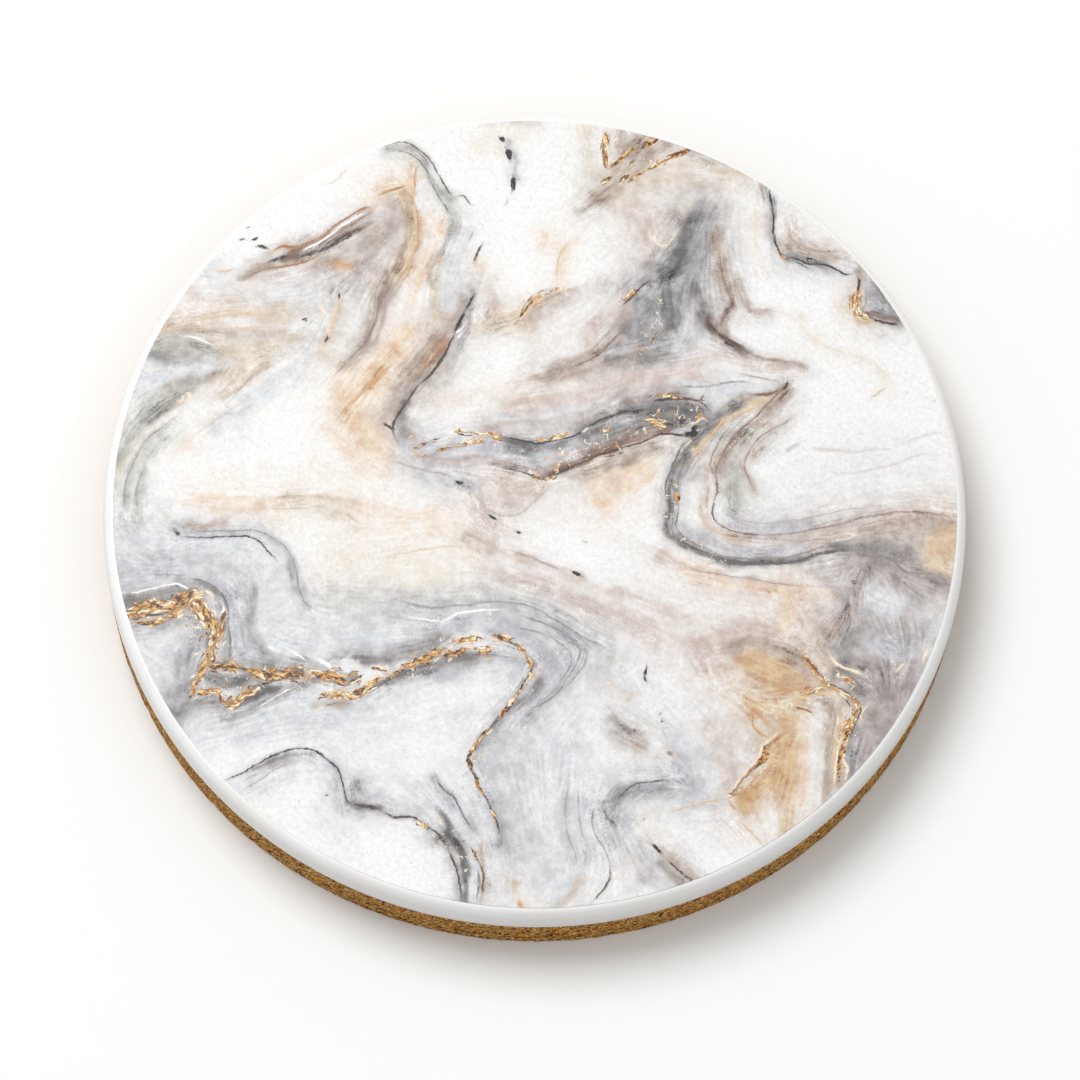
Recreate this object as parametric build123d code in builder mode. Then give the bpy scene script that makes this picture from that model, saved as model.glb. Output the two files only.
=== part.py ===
"""A round drink coaster: a glazed ceramic disc with a printed top, glued onto a thick cork base.

Millimetres, +Z up. The origin is the middle of the underside, where the cork meets the table.
From the table up, the layers lie face to face: cork base, adhesive film, ceramic body, printed top.
"""

import os

from build123d import *

# Driving dimensions
coaster_diameter = 100.0
cork_thickness = 5.6
adhesive_thickness = 0.2
ceramic_thickness = 3.6
print_thickness = 0.1

# Ceramic body: its top edge rolls over in a soft quarter ellipse, its foot edge is only eased
edge_roll_width = 1.2
edge_roll_height = 2.6
foot_edge_radius = 0.3

# Layers that stop short of the ceramic's wall
print_margin = 0.05  # from where the top edge starts to roll over
adhesive_inset = 0.7

# Cork base: its wall is cut flush with the ceramic's, and its lower edge is worn a little
cork_edge_ease = 0.25

# Places and radii worked out from the sizes above
coaster_radius = coaster_diameter / 2
adhesive_radius = coaster_radius - adhesive_inset
flat_top_radius = coaster_radius - edge_roll_width
print_radius = flat_top_radius - print_margin

cork_top = cork_thickness
ceramic_bottom = cork_top + adhesive_thickness
ceramic_top = ceramic_bottom + ceramic_thickness
roll_start = ceramic_top - edge_roll_height
foot_radius = coaster_radius - foot_edge_radius

os.makedirs("parts", exist_ok=True)


# Cork base: a disc cut from agglomerated cork sheet
with BuildPart() as cork_base:
    with BuildSketch(Plane.XY):
        Circle(coaster_radius)
    extrude(amount=cork_thickness)
    chamfer(cork_base.edges().group_by(Axis.Z)[0], length=cork_edge_ease)
cork_base.part.label = "cork_base"
export_step(cork_base.part, "parts/cork_base.step")


# Adhesive film: the glue sheet that holds the cork to the ceramic, set back from the wall
with BuildPart() as adhesive_film:
    with BuildSketch(Plane.XY.offset(cork_top)):
        Circle(adhesive_radius)
    extrude(amount=adhesive_thickness)
adhesive_film.part.label = "adhesive_film"
export_step(adhesive_film.part, "parts/adhesive_film.step")


# Ceramic body: pressed and glazed disc, turned from half of its section
with BuildPart() as ceramic_body:
    with BuildSketch(Plane.XZ):
        with BuildLine():
            Line((0, ceramic_bottom), (foot_radius, ceramic_bottom))
            RadiusArc(
                (foot_radius, ceramic_bottom),
                (coaster_radius, ceramic_bottom + foot_edge_radius),
                -foot_edge_radius,
            )
            Line((coaster_radius, ceramic_bottom + foot_edge_radius), (coaster_radius, roll_start))
            EllipticalCenterArc(
                (flat_top_radius, roll_start),
                edge_roll_width,
                edge_roll_height,
                start_angle=0,
                arc_size=90,
            )
            Line((flat_top_radius, ceramic_top), (0, ceramic_top))
            Line((0, ceramic_top), (0, ceramic_bottom))
        make_face()
    revolve(axis=Axis.Z)
ceramic_body.part.label = "ceramic_body"
export_step(ceramic_body.part, "parts/ceramic_body.step")


# Printed top: the thin decorated layer that a cup stands on
with BuildPart() as printed_top:
    with BuildSketch(Plane.XY.offset(ceramic_top)):
        Circle(print_radius)
    extrude(amount=print_thickness)
printed_top.part.label = "printed_top"
export_step(printed_top.part, "parts/printed_top.step")
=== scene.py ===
"""Looks of a round drink coaster: cork, adhesive, white glazed ceramic and a marble print."""

import logging
import math
from collections.abc import Iterable
from dataclasses import dataclass
from enum import Enum, IntEnum
from typing import Any

import bpy
import numpy as np
from mathutils import Matrix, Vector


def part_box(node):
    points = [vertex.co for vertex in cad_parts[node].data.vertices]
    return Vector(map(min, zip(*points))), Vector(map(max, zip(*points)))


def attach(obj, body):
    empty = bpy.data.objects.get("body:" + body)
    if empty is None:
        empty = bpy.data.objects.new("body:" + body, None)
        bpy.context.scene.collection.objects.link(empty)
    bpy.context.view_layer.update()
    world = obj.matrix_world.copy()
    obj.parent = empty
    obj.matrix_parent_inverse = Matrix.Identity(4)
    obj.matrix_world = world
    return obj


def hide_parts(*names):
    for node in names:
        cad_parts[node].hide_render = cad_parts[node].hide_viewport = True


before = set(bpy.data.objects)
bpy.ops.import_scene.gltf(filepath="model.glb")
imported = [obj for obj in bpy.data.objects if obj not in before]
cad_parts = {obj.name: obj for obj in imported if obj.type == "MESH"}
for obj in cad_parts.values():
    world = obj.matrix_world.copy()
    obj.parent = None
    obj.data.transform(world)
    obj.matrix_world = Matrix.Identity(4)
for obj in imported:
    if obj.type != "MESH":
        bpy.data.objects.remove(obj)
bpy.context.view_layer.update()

BODY = "root"
MM = 0.001
LOG = logging.getLogger("coaster")

Array = np.ndarray
Numbers = tuple[float, ...]
Faces = list[tuple[int, ...]]
Piece = bpy.types.Object
Material = bpy.types.Material
Settings = dict[str, Any]
Feeds = dict[int | str, Any]


# ---- Inks and colours


def linear(code: str) -> tuple[float, float, float]:
    """Turn a screen colour code into linear light, by the usual screen curve.

    Args:
        code: six hexadecimal digits.

    Returns:
        Red, green and blue in linear light.
    """
    shares = [int(code[i : i + 2], 16) / 255 for i in (0, 2, 4)]
    light = [v / 12.92 if v <= 0.04045 else ((v + 0.055) / 1.055) ** 2.4 for v in shares]
    return light[0], light[1], light[2]


class Ink(Enum):
    """Colours of the print, the foil, the glaze, the cork and the floor."""

    WHITE = "f9f9f8"
    CREAM = "efe8de"
    PEACH = "ecd6c0"
    SAND = "d9bf9f"
    OCHRE = "cfab80"
    AMBER = "cb9862"
    RUST = "a3724c"
    BROWN = "77594a"
    UMBER = "4a362c"
    ROSE = "d6c8c0"
    TAUPE = "b5a498"
    FAWN = "d5c6b3"
    MAUVE = "ada29f"
    PEARL = "dcdde0"
    MIST = "c5c4c9"
    STEEL = "a4a2a5"
    SAGE = "b2b0a8"
    SMOKE = "8a8583"
    SLATE = "625f61"
    COAL = "363336"
    BLACK = "1d1c1f"
    BONE = "faeace"
    GILT_LIGHT = "efc88a"
    GILT = "d79f55"
    GILT_DEEP = "9d682f"
    GILT_DARK = "4a2d18"
    PAPER = "fafbfa"
    CORK_LIGHT = "fed68a"
    CORK_MID = "f6a744"
    CORK_DEEP = "a55c1a"
    CORK_DARK = "2c1405"

    @property
    def light(self) -> Array:
        """Linear red, green and blue of the ink."""
        return np.array(linear(self.value))


# Every ink under its plain name, in the order above
(
    WHITE, CREAM, PEACH, SAND, OCHRE, AMBER, RUST, BROWN, UMBER, ROSE, TAUPE, FAWN, MAUVE, PEARL,
    MIST, STEEL, SAGE, SMOKE, SLATE, COAL, BLACK, BONE, GILT_LIGHT, GILT, GILT_DEEP, GILT_DARK,
    PAPER, CORK_LIGHT, CORK_MID, CORK_DEEP, CORK_DARK,
) = Ink


# ---- Numbers over the coaster's face


class Seed(IntEnum):
    """Which random pattern each use takes; a use with two directions also takes the next one."""

    WANDER = 3
    FINE_WANDER = 5
    BROAD_SWIRL = 11
    TIGHT_SWIRL = 13
    WARMTH = 21
    WAVER = 31
    STREAK = 41
    LINE_WIDTH = 51
    WALL_GRAIN = 61
    WALL_PITS = 71
    FLOOR_GRAIN = 81
    FLOOR_PITS = 91


# Factors without a simple ratio, which scatter the corners of a lattice
ALONG, ACROSS, PER_SEED, SCATTER = 127.1, 311.7, 74.7, 43758.5453
LAYER_SEED = 13


def eased(share: Array) -> Array:
    """Smooth step from 0 to 1 of a share, which is clipped first."""
    share = np.clip(share, 0, 1)
    return share * share * (3 - 2 * share)


def patches(x: Array, y: Array, seed: int) -> Array:
    """Smooth random patches, one unit wide.

    Args:
        x: first coordinate.
        y: second coordinate.
        seed: which pattern to give.

    Returns:
        Values from 0 to 1.
    """
    cell_x, cell_y = np.floor(x), np.floor(y)
    part_x, part_y = eased(x - cell_x), eased(y - cell_y)

    def corner(i: Array, j: Array) -> Array:
        """Random number of one lattice corner."""
        return np.modf(np.abs(np.sin(i * ALONG + j * ACROSS + seed * PER_SEED) * SCATTER))[0]

    low = corner(cell_x, cell_y) * (1 - part_x) + corner(cell_x + 1, cell_y) * part_x
    high = corner(cell_x, cell_y + 1) * (1 - part_x) + corner(cell_x + 1, cell_y + 1) * part_x
    return low * (1 - part_y) + high * part_y


def layered(x: Array, y: Array, seed: int, layers: int = 3) -> Array:
    """Random patches with finer ones on top.

    Args:
        x: first coordinate.
        y: second coordinate.
        seed: which pattern to give.
        layers: how many sizes of patch there are.

    Returns:
        Values from 0 to 1.
    """
    total, weight = np.zeros_like(x), 0.0
    for k in range(layers):
        total += patches(x * 2**k, y * 2**k, seed + LAYER_SEED * k) / 2**k
        weight += 1 / 2**k
    return total / weight


@dataclass(frozen=True)
class Trail:
    """A smooth line on the coaster's face, through given points, in millimetres."""

    points: Numbers
    steps: int = 6

    def line(self) -> Array:
        """Round off the chosen points.

        Returns:
            Points along the line, as rows of x and y.
        """
        knots = np.array(self.points, float).reshape(-1, 2)
        ends = np.vstack([2 * knots[0] - knots[1], knots, 2 * knots[-1] - knots[-2]])
        a, b, c, d = ends[:-3], ends[1:-2], ends[2:-1], ends[3:]
        t = (np.arange(self.steps) / self.steps)[None, :, None]
        a, b, c, d = (v[:, None, :] for v in (a, b, c, d))
        curve = 0.5 * (2 * b + (c - a) * t + (2 * a - 5 * b + 4 * c - d) * t**2)
        curve = curve + 0.5 * (3 * b - a - 3 * c + d) * t**3
        return np.vstack([curve.reshape(-1, 2), knots[-1]])

    def near(self, spots: Array, reach: float) -> "Nearness":
        """Measure the spots that lie near the line.

        Args:
            spots: rows of x and y.
            reach: how far from the line a spot may lie.

        Returns:
            The spots within reach with where they lie along and beside the line.
        """
        line = self.line()
        low, high = line.min(0) - reach, line.max(0) + reach
        index = np.flatnonzero(((spots > low) & (spots < high)).all(1))
        start, way = line[:-1], np.diff(line, axis=0)
        lengths = np.hypot(*way.T)
        runs = np.concatenate([[0], np.cumsum(lengths)])
        best = np.full(len(index), np.inf)
        side, run = np.zeros(len(index)), np.zeros(len(index))
        for k, (origin, step) in enumerate(zip(start, way, strict=True)):
            off = spots[index] - origin
            share = np.clip(off @ step / max(lengths[k] ** 2, 1e-12), 0, 1)
            gap = np.hypot(*(off - share[:, None] * step).T)
            turn = np.where(step[0] * off[:, 1] - step[1] * off[:, 0] < 0, -1.0, 1.0)
            closer = gap < best
            best = np.where(closer, gap, best)
            side = np.where(closer, gap * turn, side)
            run = np.where(closer, runs[k] + share * lengths[k], run)
        return Nearness(index, side, run, runs[-1])


@dataclass(frozen=True)
class Nearness:
    """Where some spots lie by a trail: beside it (left is positive) and along it."""

    index: Array
    side: Array
    run: Array
    length: float

    def tapered(self, taper: float) -> Array:
        """Share that falls to nothing at both ends of the trail, over a taper in millimetres."""
        room = max(min(taper, 0.3 * self.length), 1e-6)
        return eased(np.minimum(self.run, self.length - self.run) / room)


@dataclass(frozen=True)
class Wash:
    """A soft sweep of ink that fades out to the left and right of its trail."""

    ink: Ink
    strength: float
    left: float
    right: float
    points: Numbers


@dataclass(frozen=True)
class Vein:
    """A thin crisp line of ink."""

    ink: Ink
    strength: float
    half_width: float
    points: Numbers


@dataclass(frozen=True)
class Foil:
    """A ribbon of gold-coloured splinters."""

    half_width: float
    strength: float
    points: Numbers


@dataclass(frozen=True)
class Flecks:
    """A zone with loose slivers of gold-coloured and pale foil."""

    density: float
    reach: float
    points: Numbers


@dataclass(frozen=True)
class Dot:
    """A small spot of ink."""

    ink: Ink
    x: float
    y: float
    size: float
    strength: float = 0.9

    @property
    def vein(self) -> Vein:
        """The spot as a very short line."""
        ends = (self.x, self.y, self.x + self.size, self.y + self.size / 2)
        return Vein(self.ink, self.strength, self.size, ends)


# ---- The marble pattern, drawn stroke by stroke. Each row holds the fields of its stroke in order. Points are
# pairs of x to the right and y away from the viewer, in millimetres, and so are all widths.
WASHES = tuple(Wash(*row) for row in (
    # Far left: sage swirl along the rim and the sand band over it
    (FAWN, 0.55, 2.6, 0.8, (-46, 18.4, -42.5, 20.4, -40, 21.2, -37, 22.1, -34, 22.5, -30, 21.8)),
    (TAUPE, 0.5, 0.9, 1.6, (-45, 18.9, -42, 20.1, -39, 20.2, -36, 19.8, -33, 20.2, -30, 20.6)),
    (FAWN, 0.6, 1.2, 2.2, (-40, 18.6, -36, 18.2, -33, 18.6, -29, 19.2, -26, 20)),
    (SAGE, 0.85, 1.3, 1.6, (-47, 17.2, -44, 18.2, -41, 18, -38.6, 17)),
    (SMOKE, 0.6, 0.8, 0.8, (-47, 17.6, -44, 16.4, -41, 15.9)),
    (PEARL, 0.8, 2, 2, (-46, 13, -42, 14.6, -39, 15.6)),
    (TAUPE, 0.6, 1.6, 0.9, (-44, 12, -41.5, 12.9, -39.5, 13.7, -37.7, 14.6)),
    (SAGE, 0.7, 2.6, 0.5, (-48, 3, -46.3, 6.4, -44, 9.2, -41.5, 11.5, -39.5, 13)),
    (SMOKE, 0.35, 0.8, 0.5, (-45.5, 8.2, -43.5, 10.2, -41.8, 11.6)),
    (SAGE, 0.35, 1.5, 1, (-49, -1, -48.4, 3, -47.4, 7, -46.2, 10)),
    (CREAM, 0.25, 0.5, 1.2, (-47.2, 3.6, -45.2, 6.4, -42.8, 8.9, -40.3, 10.9, -38, 12.9)),
    (SAGE, 0.5, 0.6, 1, (-47.6, -4, -47.4, 0, -46.5, 3.2, -44.8, 6, -42, 8.7)),
    (SAGE, 0.45, 0.5, 0.9, (-45.9, -4, -46, 0, -45.2, 3.4, -43.5, 6.2)),
    (PEACH, 0.35, 0.7, 1.4, (-41.5, 4.4, -40, 6.6, -38, 8.6, -36.5, 9.8)),
    (FAWN, 0.7, 1.2, 1.2, (-37, 11.4, -35, 13, -34, 15, -32, 16.2)),
    (SAND, 0.2, 0.9, 1, (-36.6, 13.5, -35.8, 15.5, -33.5, 17)),
    (PEARL, 0.6, 1.5, 1.8, (-38, 8, -34, 11.2, -30.5, 13.8, -28, 17, -26.5, 21)),
    # Upper left fold
    (PEARL, 0.4, 3, 3, (-39, 27.5, -34, 25.5, -29, 25.5, -25, 27)),
    (ROSE, 0.45, 0.9, 1.3, (-42, 24.5, -38.5, 24.4, -35, 25.4, -31, 27.2)),
    (PEACH, 0.25, 0.8, 1.2, (-42.5, 22.6, -38, 23.3, -33, 23.2)),
    (MAUVE, 0.4, 2.6, 2.6, (-17.5, 37, -18.7, 34, -20.2, 31, -22, 28, -23.5, 26)),
    (TAUPE, 0.42, 2.6, 1.4, (-20, 34, -22, 31.5, -24.5, 29.7, -27.5, 28.3)),
    (TAUPE, 0.5, 1.6, 1.4, (-17.2, 30, -18.6, 26.6, -19.7, 23, -20.9, 19.7, -22.6, 16)),
    (BROWN, 0.35, 0.5, 0.8, (-17.9, 28.2, -18.9, 25, -19.7, 21.9, -21, 18.9)),
    (SAND, 0.85, 0.25, 1.7, (-16.4, 38.8, -15.2, 36.6, -14.7, 33.6, -14.8, 31, -15.6, 28.9, -17, 27)),
    (BROWN, 0.35, 0.5, 1.2, (-16.6, 38.2, -16.1, 36.2, -15.9, 33.6, -16.2, 31.2, -17.2, 28.4)),
    (TAUPE, 0.5, 0.3, 1, (-16.9, 27.1, -18, 24.4, -18.5, 21.4, -19.4, 19.2)),
    (RUST, 0.38, 0.25, 1.1, (-20.5, 36.2, -22.6, 34.4, -25, 32.7, -27.4, 31.1, -29.6, 29.9)),
    (BROWN, 0.75, 0.3, 0.9, (-20.8, 34.2, -23, 33.2, -25.4, 31.6, -28.3, 30.1, -31, 29)),
    (TAUPE, 0.8, 0.5, 0.7, (-28.5, 29.4, -31.5, 28.3, -33.6, 27.6, -35.6, 26.5)),
    (TAUPE, 0.6, 0.7, 0.7, (-23.6, 30, -25.5, 29.6, -27, 28.8)),
    (AMBER, 0.6, 0.4, 0.7, (-24.2, 29.2, -23.4, 29.3, -22.4, 29.3)),
    (SAND, 0.6, 0.3, 0.5, (-32.4, 30.2, -31.4, 31, -30, 30.9)),
    (FAWN, 0.55, 0.5, 0.5, (-24, 25.4, -24, 23.4, -24.4, 21.4, -25.2, 19.2, -25.8, 17.5)),
    (SAND, 0.6, 0.9, 0.3, (-15.5, 38.6, -15.9, 40.4, -16, 42.6)),
    (PEACH, 0.5, 1.6, 0.6, (-20.4, 38, -18.7, 38.9, -17, 39.6, -15.6, 40)),
    (SAGE, 0.8, 0.35, 0.6, (-19.5, 44.9, -17, 44.6, -15, 43.2, -13.6, 41.3, -12.5, 39.2,
     -11.4, 37.6)),
    (SAGE, 0.55, 0.5, 1.1, (-11.2, 38, -10.6, 36.8, -10.5, 35, -11.3, 32.6, -12.4, 29.6)),
    (MIST, 0.6, 0.6, 0.8, (-10.2, 35.6, -10.8, 33.6, -11.6, 31.3)),
    (PEACH, 0.75, 0.2, 1.1, (-12.2, 34, -13, 31.8, -13.8, 29.4, -14.4, 27, -14.9, 24.9)),
    (FAWN, 0.75, 1.5, 0.4, (-12.9, 29.6, -13.2, 27.6, -12.9, 25, -12.6, 22.6)),
    (PEARL, 0.5, 1.6, 1.6, (-9, 34, -10, 31, -11, 28, -11, 25)),
    (PEACH, 0.3, 1, 1, (-14, 36, -13.6, 33.6)),
    # Sand cloud left of the middle and the stripes that come down to it
    (PEACH, 0.9, 2.2, 2.6, (-15.5, 20, -18, 16.6, -20.4, 13.4, -21.6, 10.4, -20.6, 7.8, -18.8, 5.6)),
    (SAND, 0.6, 1.4, 1.2, (-17, 18.4, -19.2, 15.4, -21, 12.6, -22.8, 10)),
    (OCHRE, 0.2, 0.8, 0.8, (-16, 19, -18, 16.8, -19.6, 14.6)),
    (OCHRE, 0.4, 0.9, 0.9, (-21, 9.4, -20.4, 7.4, -19, 5.8)),
    (TAUPE, 0.75, 2.2, 1.6, (-9, 24.6, -10.6, 21.4, -12.6, 18.6, -14.6, 16)),
    (STEEL, 0.6, 0.4, 2, (-7.6, 26, -8.2, 23.6, -8.6, 21, -9.4, 19)),
    (RUST, 0.6, 0.3, 1.5, (-11.2, 19, -12.4, 17.3, -13.5, 15.6, -14.8, 14.1)),
    (TAUPE, 0.6, 1.4, 1.4, (-15, 15.4, -16.6, 12.4, -17.6, 9.8)),
    (SMOKE, 0.6, 1, 1.4, (-13, 14.6, -15, 12, -16, 9.2, -14.6, 7)),
    # Middle left: arcs
    (PEACH, 0.5, 1.3, 1.7, (-39, -1.2, -36.4, -1.2, -33, -1.2, -29.5, -1.6)),
    (SAND, 0.4, 0.6, 0.8, (-37, -2.6, -34, -2.3, -31.5, -2.1)),
    (FAWN, 0.6, 0.5, 1.3, (-31.5, -0.9, -28, -0.5, -25.5, 0, -23.4, -0.2, -21, -1)),
    (FAWN, 0.5, 0.5, 1.1, (-29.5, -1.8, -26.5, -1.6, -23.7, -1.7, -21.8, -2.6, -20.5, -4)),
    (PEACH, 0.3, 0.8, 2.4, (-21, -1, -18, -1.5, -15.5, -2, -12, -1.5)),
    (PEACH, 0.15, 3, 3, (-19, -5, -14, -4, -10, -3)),
    (CREAM, 0.7, 4, 4, (-22, -8, -15, -9, -9, -8)),
    (CREAM, 0.3, 3, 3, (-36, 1.5, -30, 1, -25, 2, -18, 1)),
    (TAUPE, 0.75, 0.4, 0.7, (-40, -4.6, -38, -4.6, -35.6, -4.2)),
    (STEEL, 0.5, 0.9, 0.9, (-42, -3.6, -41, -4.6, -40.2, -5)),
    (PEARL, 0.85, 0.8, 2.4, (-46, -6.2, -42.4, -7.6, -38.5, -6.6, -34.5, -6.3, -31.2, -7.6,
     -29.4, -9.8)),
    (MIST, 0.6, 0.5, 1.2, (-39, -5.1, -35, -4.7, -31.5, -4.6, -28.8, -6, -27.3, -8.4, -26.6, -11,
     -25.6, -13.6)),
    (STEEL, 0.35, 0.4, 0.5, (-31, -5.2, -28.8, -6.9, -27.5, -9.2, -26.9, -11.8, -25.8, -14)),
    (MIST, 0.4, 1.8, 1.8, (-48, -5, -46.4, -8, -43, -9.2, -38, -8.4, -34.6, -9.6, -33, -12.6)),
    # Lower left: slate field with the gold
    (MIST, 0.8, 3.5, 3.5, (-47, -11, -42, -10.4, -37, -11, -34, -14.6, -33, -19)),
    (SMOKE, 0.6, 0.6, 1.4, (-41, -11.4, -37.6, -11.7, -35.2, -14, -34.3, -17.2, -34.1, -20.6)),
    (SMOKE, 0.8, 0.9, 1.1, (-47, -13.9, -44, -13.5, -41, -12.8, -39.4, -12.9)),
    (STEEL, 0.8, 1.2, 1.2, (-45.5, -17.6, -41.8, -16.8, -39.6, -15.4, -38.2, -16)),
    (PEARL, 0.75, 3.4, 3.4, (-44, -20, -41, -22.4, -39.6, -25.6)),
    (STEEL, 0.65, 1.3, 2.2, (-37.4, -17.6, -38.4, -20.4, -39, -23.4, -39.8, -26, -40.8, -28.4)),
    (SMOKE, 0.7, 1, 1.2, (-36.4, -22.8, -34.4, -23.4, -32.4, -23.2, -31, -22.6)),
    (SMOKE, 0.7, 1.5, 1.6, (-39.6, -27.6, -37.4, -26.4, -35.4, -26.2, -33.4, -26.8, -31, -25)),
    (SLATE, 0.75, 0.7, 0.9, (-32.8, -26, -31, -24.8, -29.4, -23.8, -28.4, -24)),
    (SMOKE, 0.8, 0.8, 1.2, (-33, -27.6, -30, -26.2, -27.4, -24.4, -25.6, -23.4)),
    (PEARL, 0.9, 3, 3, (-37, -29.6, -32, -28.6, -26, -27, -20, -26.4)),
    (PEARL, 0.95, 2.4, 2.4, (-30.5, -10.5, -30.6, -14, -29.4, -17.4, -25, -18, -20, -17.6,
     -14, -16.4)),
    (STEEL, 0.5, 0.8, 1, (-31.8, -12, -31.6, -15.2, -31.2, -18.4, -29.6, -19.8, -27, -20.6,
     -23.4, -20.8)),
    (SMOKE, 0.45, 1, 0.5, (-33.6, -20.6, -30, -21, -26.6, -21.4)),
    (MIST, 0.2, 1.4, 1.4, (-25.4, -14.6, -21, -15, -16, -14.8, -12, -15.6)),
    (STEEL, 0.55, 1.6, 0.4, (-22, -20, -19, -19.4, -15.6, -19.4, -12.4, -18.6, -10.4, -17.8)),
    (SMOKE, 0.8, 1.3, 0.3, (-19.4, -20.2, -16.6, -20, -13.4, -19.6, -11.4, -18.9, -9.6, -17.2)),
    (MIST, 0.85, 0.3, 3.4, (-17.6, -22.8, -14, -21, -11, -19.8, -8, -18.9, -4, -18.5, -1.4, -18.6)),
    (SMOKE, 0.8, 0.3, 1.6, (-16, -21.8, -12.6, -20.6, -9.4, -19.4, -5.4, -18.8)),
    (WHITE, 0.4, 3, 3, (-14, -25, -9, -24, -4, -22.6)),
    (TAUPE, 0.55, 0.7, 0.8, (-24, -25.8, -22, -25.4, -20.6, -25)),
    # Lower middle: lilac-grey field right of the gold, and its long streaks
    (SAGE, 0.25, 2, 2.4, (-24, -12.6, -18, -12.4, -12, -12.6, -7, -12, -2, -12.6, 3, -14.6, 6, -17)),
    (MIST, 0.7, 1.2, 1.6, (-12, -15.4, -8, -14.6, -3, -14.4, 1.6, -15.6, 4.6, -18, 4.4, -20.6)),
    (MIST, 0.75, 3, 3, (-4, -15.6, 0, -16.6, 3, -19, 2, -22, -0.4, -25, -2, -28)),
    (STEEL, 0.25, 0.6, 0.8, (-4, -13.2, 1, -14.4, 5, -16.6, 6.2, -18.6, 4.8, -21, 2.6, -23.6,
     0, -26)),
    (STEEL, 0.35, 1.2, 1.2, (1.8, -20, 0.6, -23, -1.4, -25.4)),
    (SMOKE, 0.65, 0.2, 1.1, (-5.8, -31, -4.6, -28.4, -2.6, -25.8, -0.8, -23.6, 0.8, -21.4)),
    (MIST, 0.38, 3.4, 3.4, (-2, -29, -0.6, -33, 0.4, -38, 1.6, -43)),
    (MIST, 0.5, 1.8, 1.8, (-3.6, -34, -2, -38, -1, -42)),
    (STEEL, 0.6, 1.2, 1.2, (-3.4, -36.4, -2.2, -38.6, -1.8, -41)),
    (PEARL, 0.8, 3, 3, (5, -30, 5, -36, 5.6, -42, 5, -47)),
    (SAGE, 0.3, 0.7, 0.9, (5, -33.4, 4.6, -37, 5, -40, 5.6, -43)),
    (MIST, 0.25, 0.7, 0.9, (6.4, -36, 6.8, -39, 7.6, -42, 7.4, -45)),
    (SAGE, 0.25, 0.7, 1.2, (8, -15.6, 9.6, -16.8, 9.8, -18.4, 8.8, -20)),
    (PEARL, 0.6, 2, 2, (0, -47.5, 3, -45.6, 5, -43.6)),
    (SAND, 0.5, 0.5, 0.5, (-0.3, -46.2, 0, -48.6)),
    (SMOKE, 0.5, 0.7, 0.7, (9.2, -37, 10.4, -36, 11.6, -35)),
    (AMBER, 0.6, 0.25, 0.25, (0, -47.9, 0, -48.6)),
    (CREAM, 0.6, 1.2, 0.8, (0.4, -48, 2.4, -48.4)),
    (FAWN, 0.5, 0.8, 1, (7, -45.4, 6, -46.8, 4.8, -48.2)),
    # Bottom left
    (PEARL, 0.5, 0.3, 4, (-33.6, -35, -29, -32.5, -25, -31.2, -21.6, -33, -20, -37)),
    (SMOKE, 0.65, 0.2, 0.9, (-30.4, -33.4, -28.6, -32.4, -26.4, -31.6, -24.2, -31.6)),
    (MIST, 0.6, 1.2, 1.2, (-22, -33, -21, -35.4, -20.6, -38)),
    (STEEL, 0.6, 0.8, 0.7, (-18.8, -34.6, -18, -36, -16.6, -36.8)),
    (MIST, 0.7, 1.8, 0.8, (-19, -37.2, -15.6, -38, -12, -38.6, -9.6, -40)),
    (SMOKE, 0.8, 0.7, 0.5, (-19.4, -37.6, -17.6, -37.8, -15.8, -37.9)),
    (PEARL, 0.8, 1.6, 2, (-10.6, -36, -8.4, -38.6, -6.6, -41.4, -5.4, -44.6, -5, -48)),
    (SMOKE, 0.85, 0.7, 0.7, (-9.6, -37.8, -8.6, -39.6, -7.4, -41, -6.4, -42.8, -5.9, -45,
     -5.9, -48.6)),
    (SLATE, 0.95, 0.5, 0.5, (-9.2, -38.2, -8, -40.4, -6.6, -42.2, -5.9, -44.6, -6, -48.6)),
    (SMOKE, 0.2, 0.4, 0.4, (-10.6, -39, -9, -40.6, -7.5, -42.6, -6.6, -44.8, -6.4, -48.4)),
    (TAUPE, 0.6, 0.6, 0.6, (-4.4, -41.4, -4, -43.6, -3.7, -46, -3.9, -48)),
    (STEEL, 0.5, 0.4, 0.5, (-10, -33.6, -9, -35, -8.2, -35.9)),
    (MIST, 0.6, 0.5, 0.7, (-8.2, -35.6, -7, -37.6, -5.6, -40)),
    # Middle: the lens between two edges
    (MIST, 0.7, 2, 2, (-15, 6.4, -11, 6.2, -7, 6.4, -2, 5.6, 2, 6.6, 6, 8.2)),
    (TAUPE, 0.45, 0.8, 0.8, (-14, 5, -10, 4.6, -6, 5, -3, 5)),
    (STEEL, 0.7, 0.4, 1.5, (-4, 8.2, -1, 7.8, 2, 8, 5, 9.2, 8, 11.2, 12, 12.6)),
    (SLATE, 0.55, 0.3, 0.9, (-4, 7.8, -1.6, 7.6, 0.8, 7.4, 3, 8)),
    (SLATE, 0.7, 0.7, 0.5, (-3.4, 6.4, -1.6, 6.4, 0.2, 7)),
    (MAUVE, 0.5, 1.6, 1.6, (5, 9.6, 9, 12, 13, 13.6, 17, 14)),
    (SMOKE, 0.8, 2.4, 1.8, (6, 8.2, 9, 9.6, 12, 11, 15, 11.6, 18, 11.6)),
    (SLATE, 0.4, 1.6, 1.4, (8.6, 10, 12, 11.4, 15.5, 12, 18.6, 11.6, 20.2, 10.9)),
    (SLATE, 0.5, 1, 1, (13.6, 11.8, 16.2, 12, 18.6, 11.2, 19.8, 11.2)),
    (MIST, 0.5, 0.9, 0.9, (8, 10.2, 10, 10.8, 11, 10.6)),
    (BROWN, 0.7, 1.6, 0.2, (0.4, 3.2, 3, 4.2, 6, 5.7, 9, 7, 12, 8.2, 15, 9.4)),
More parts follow.
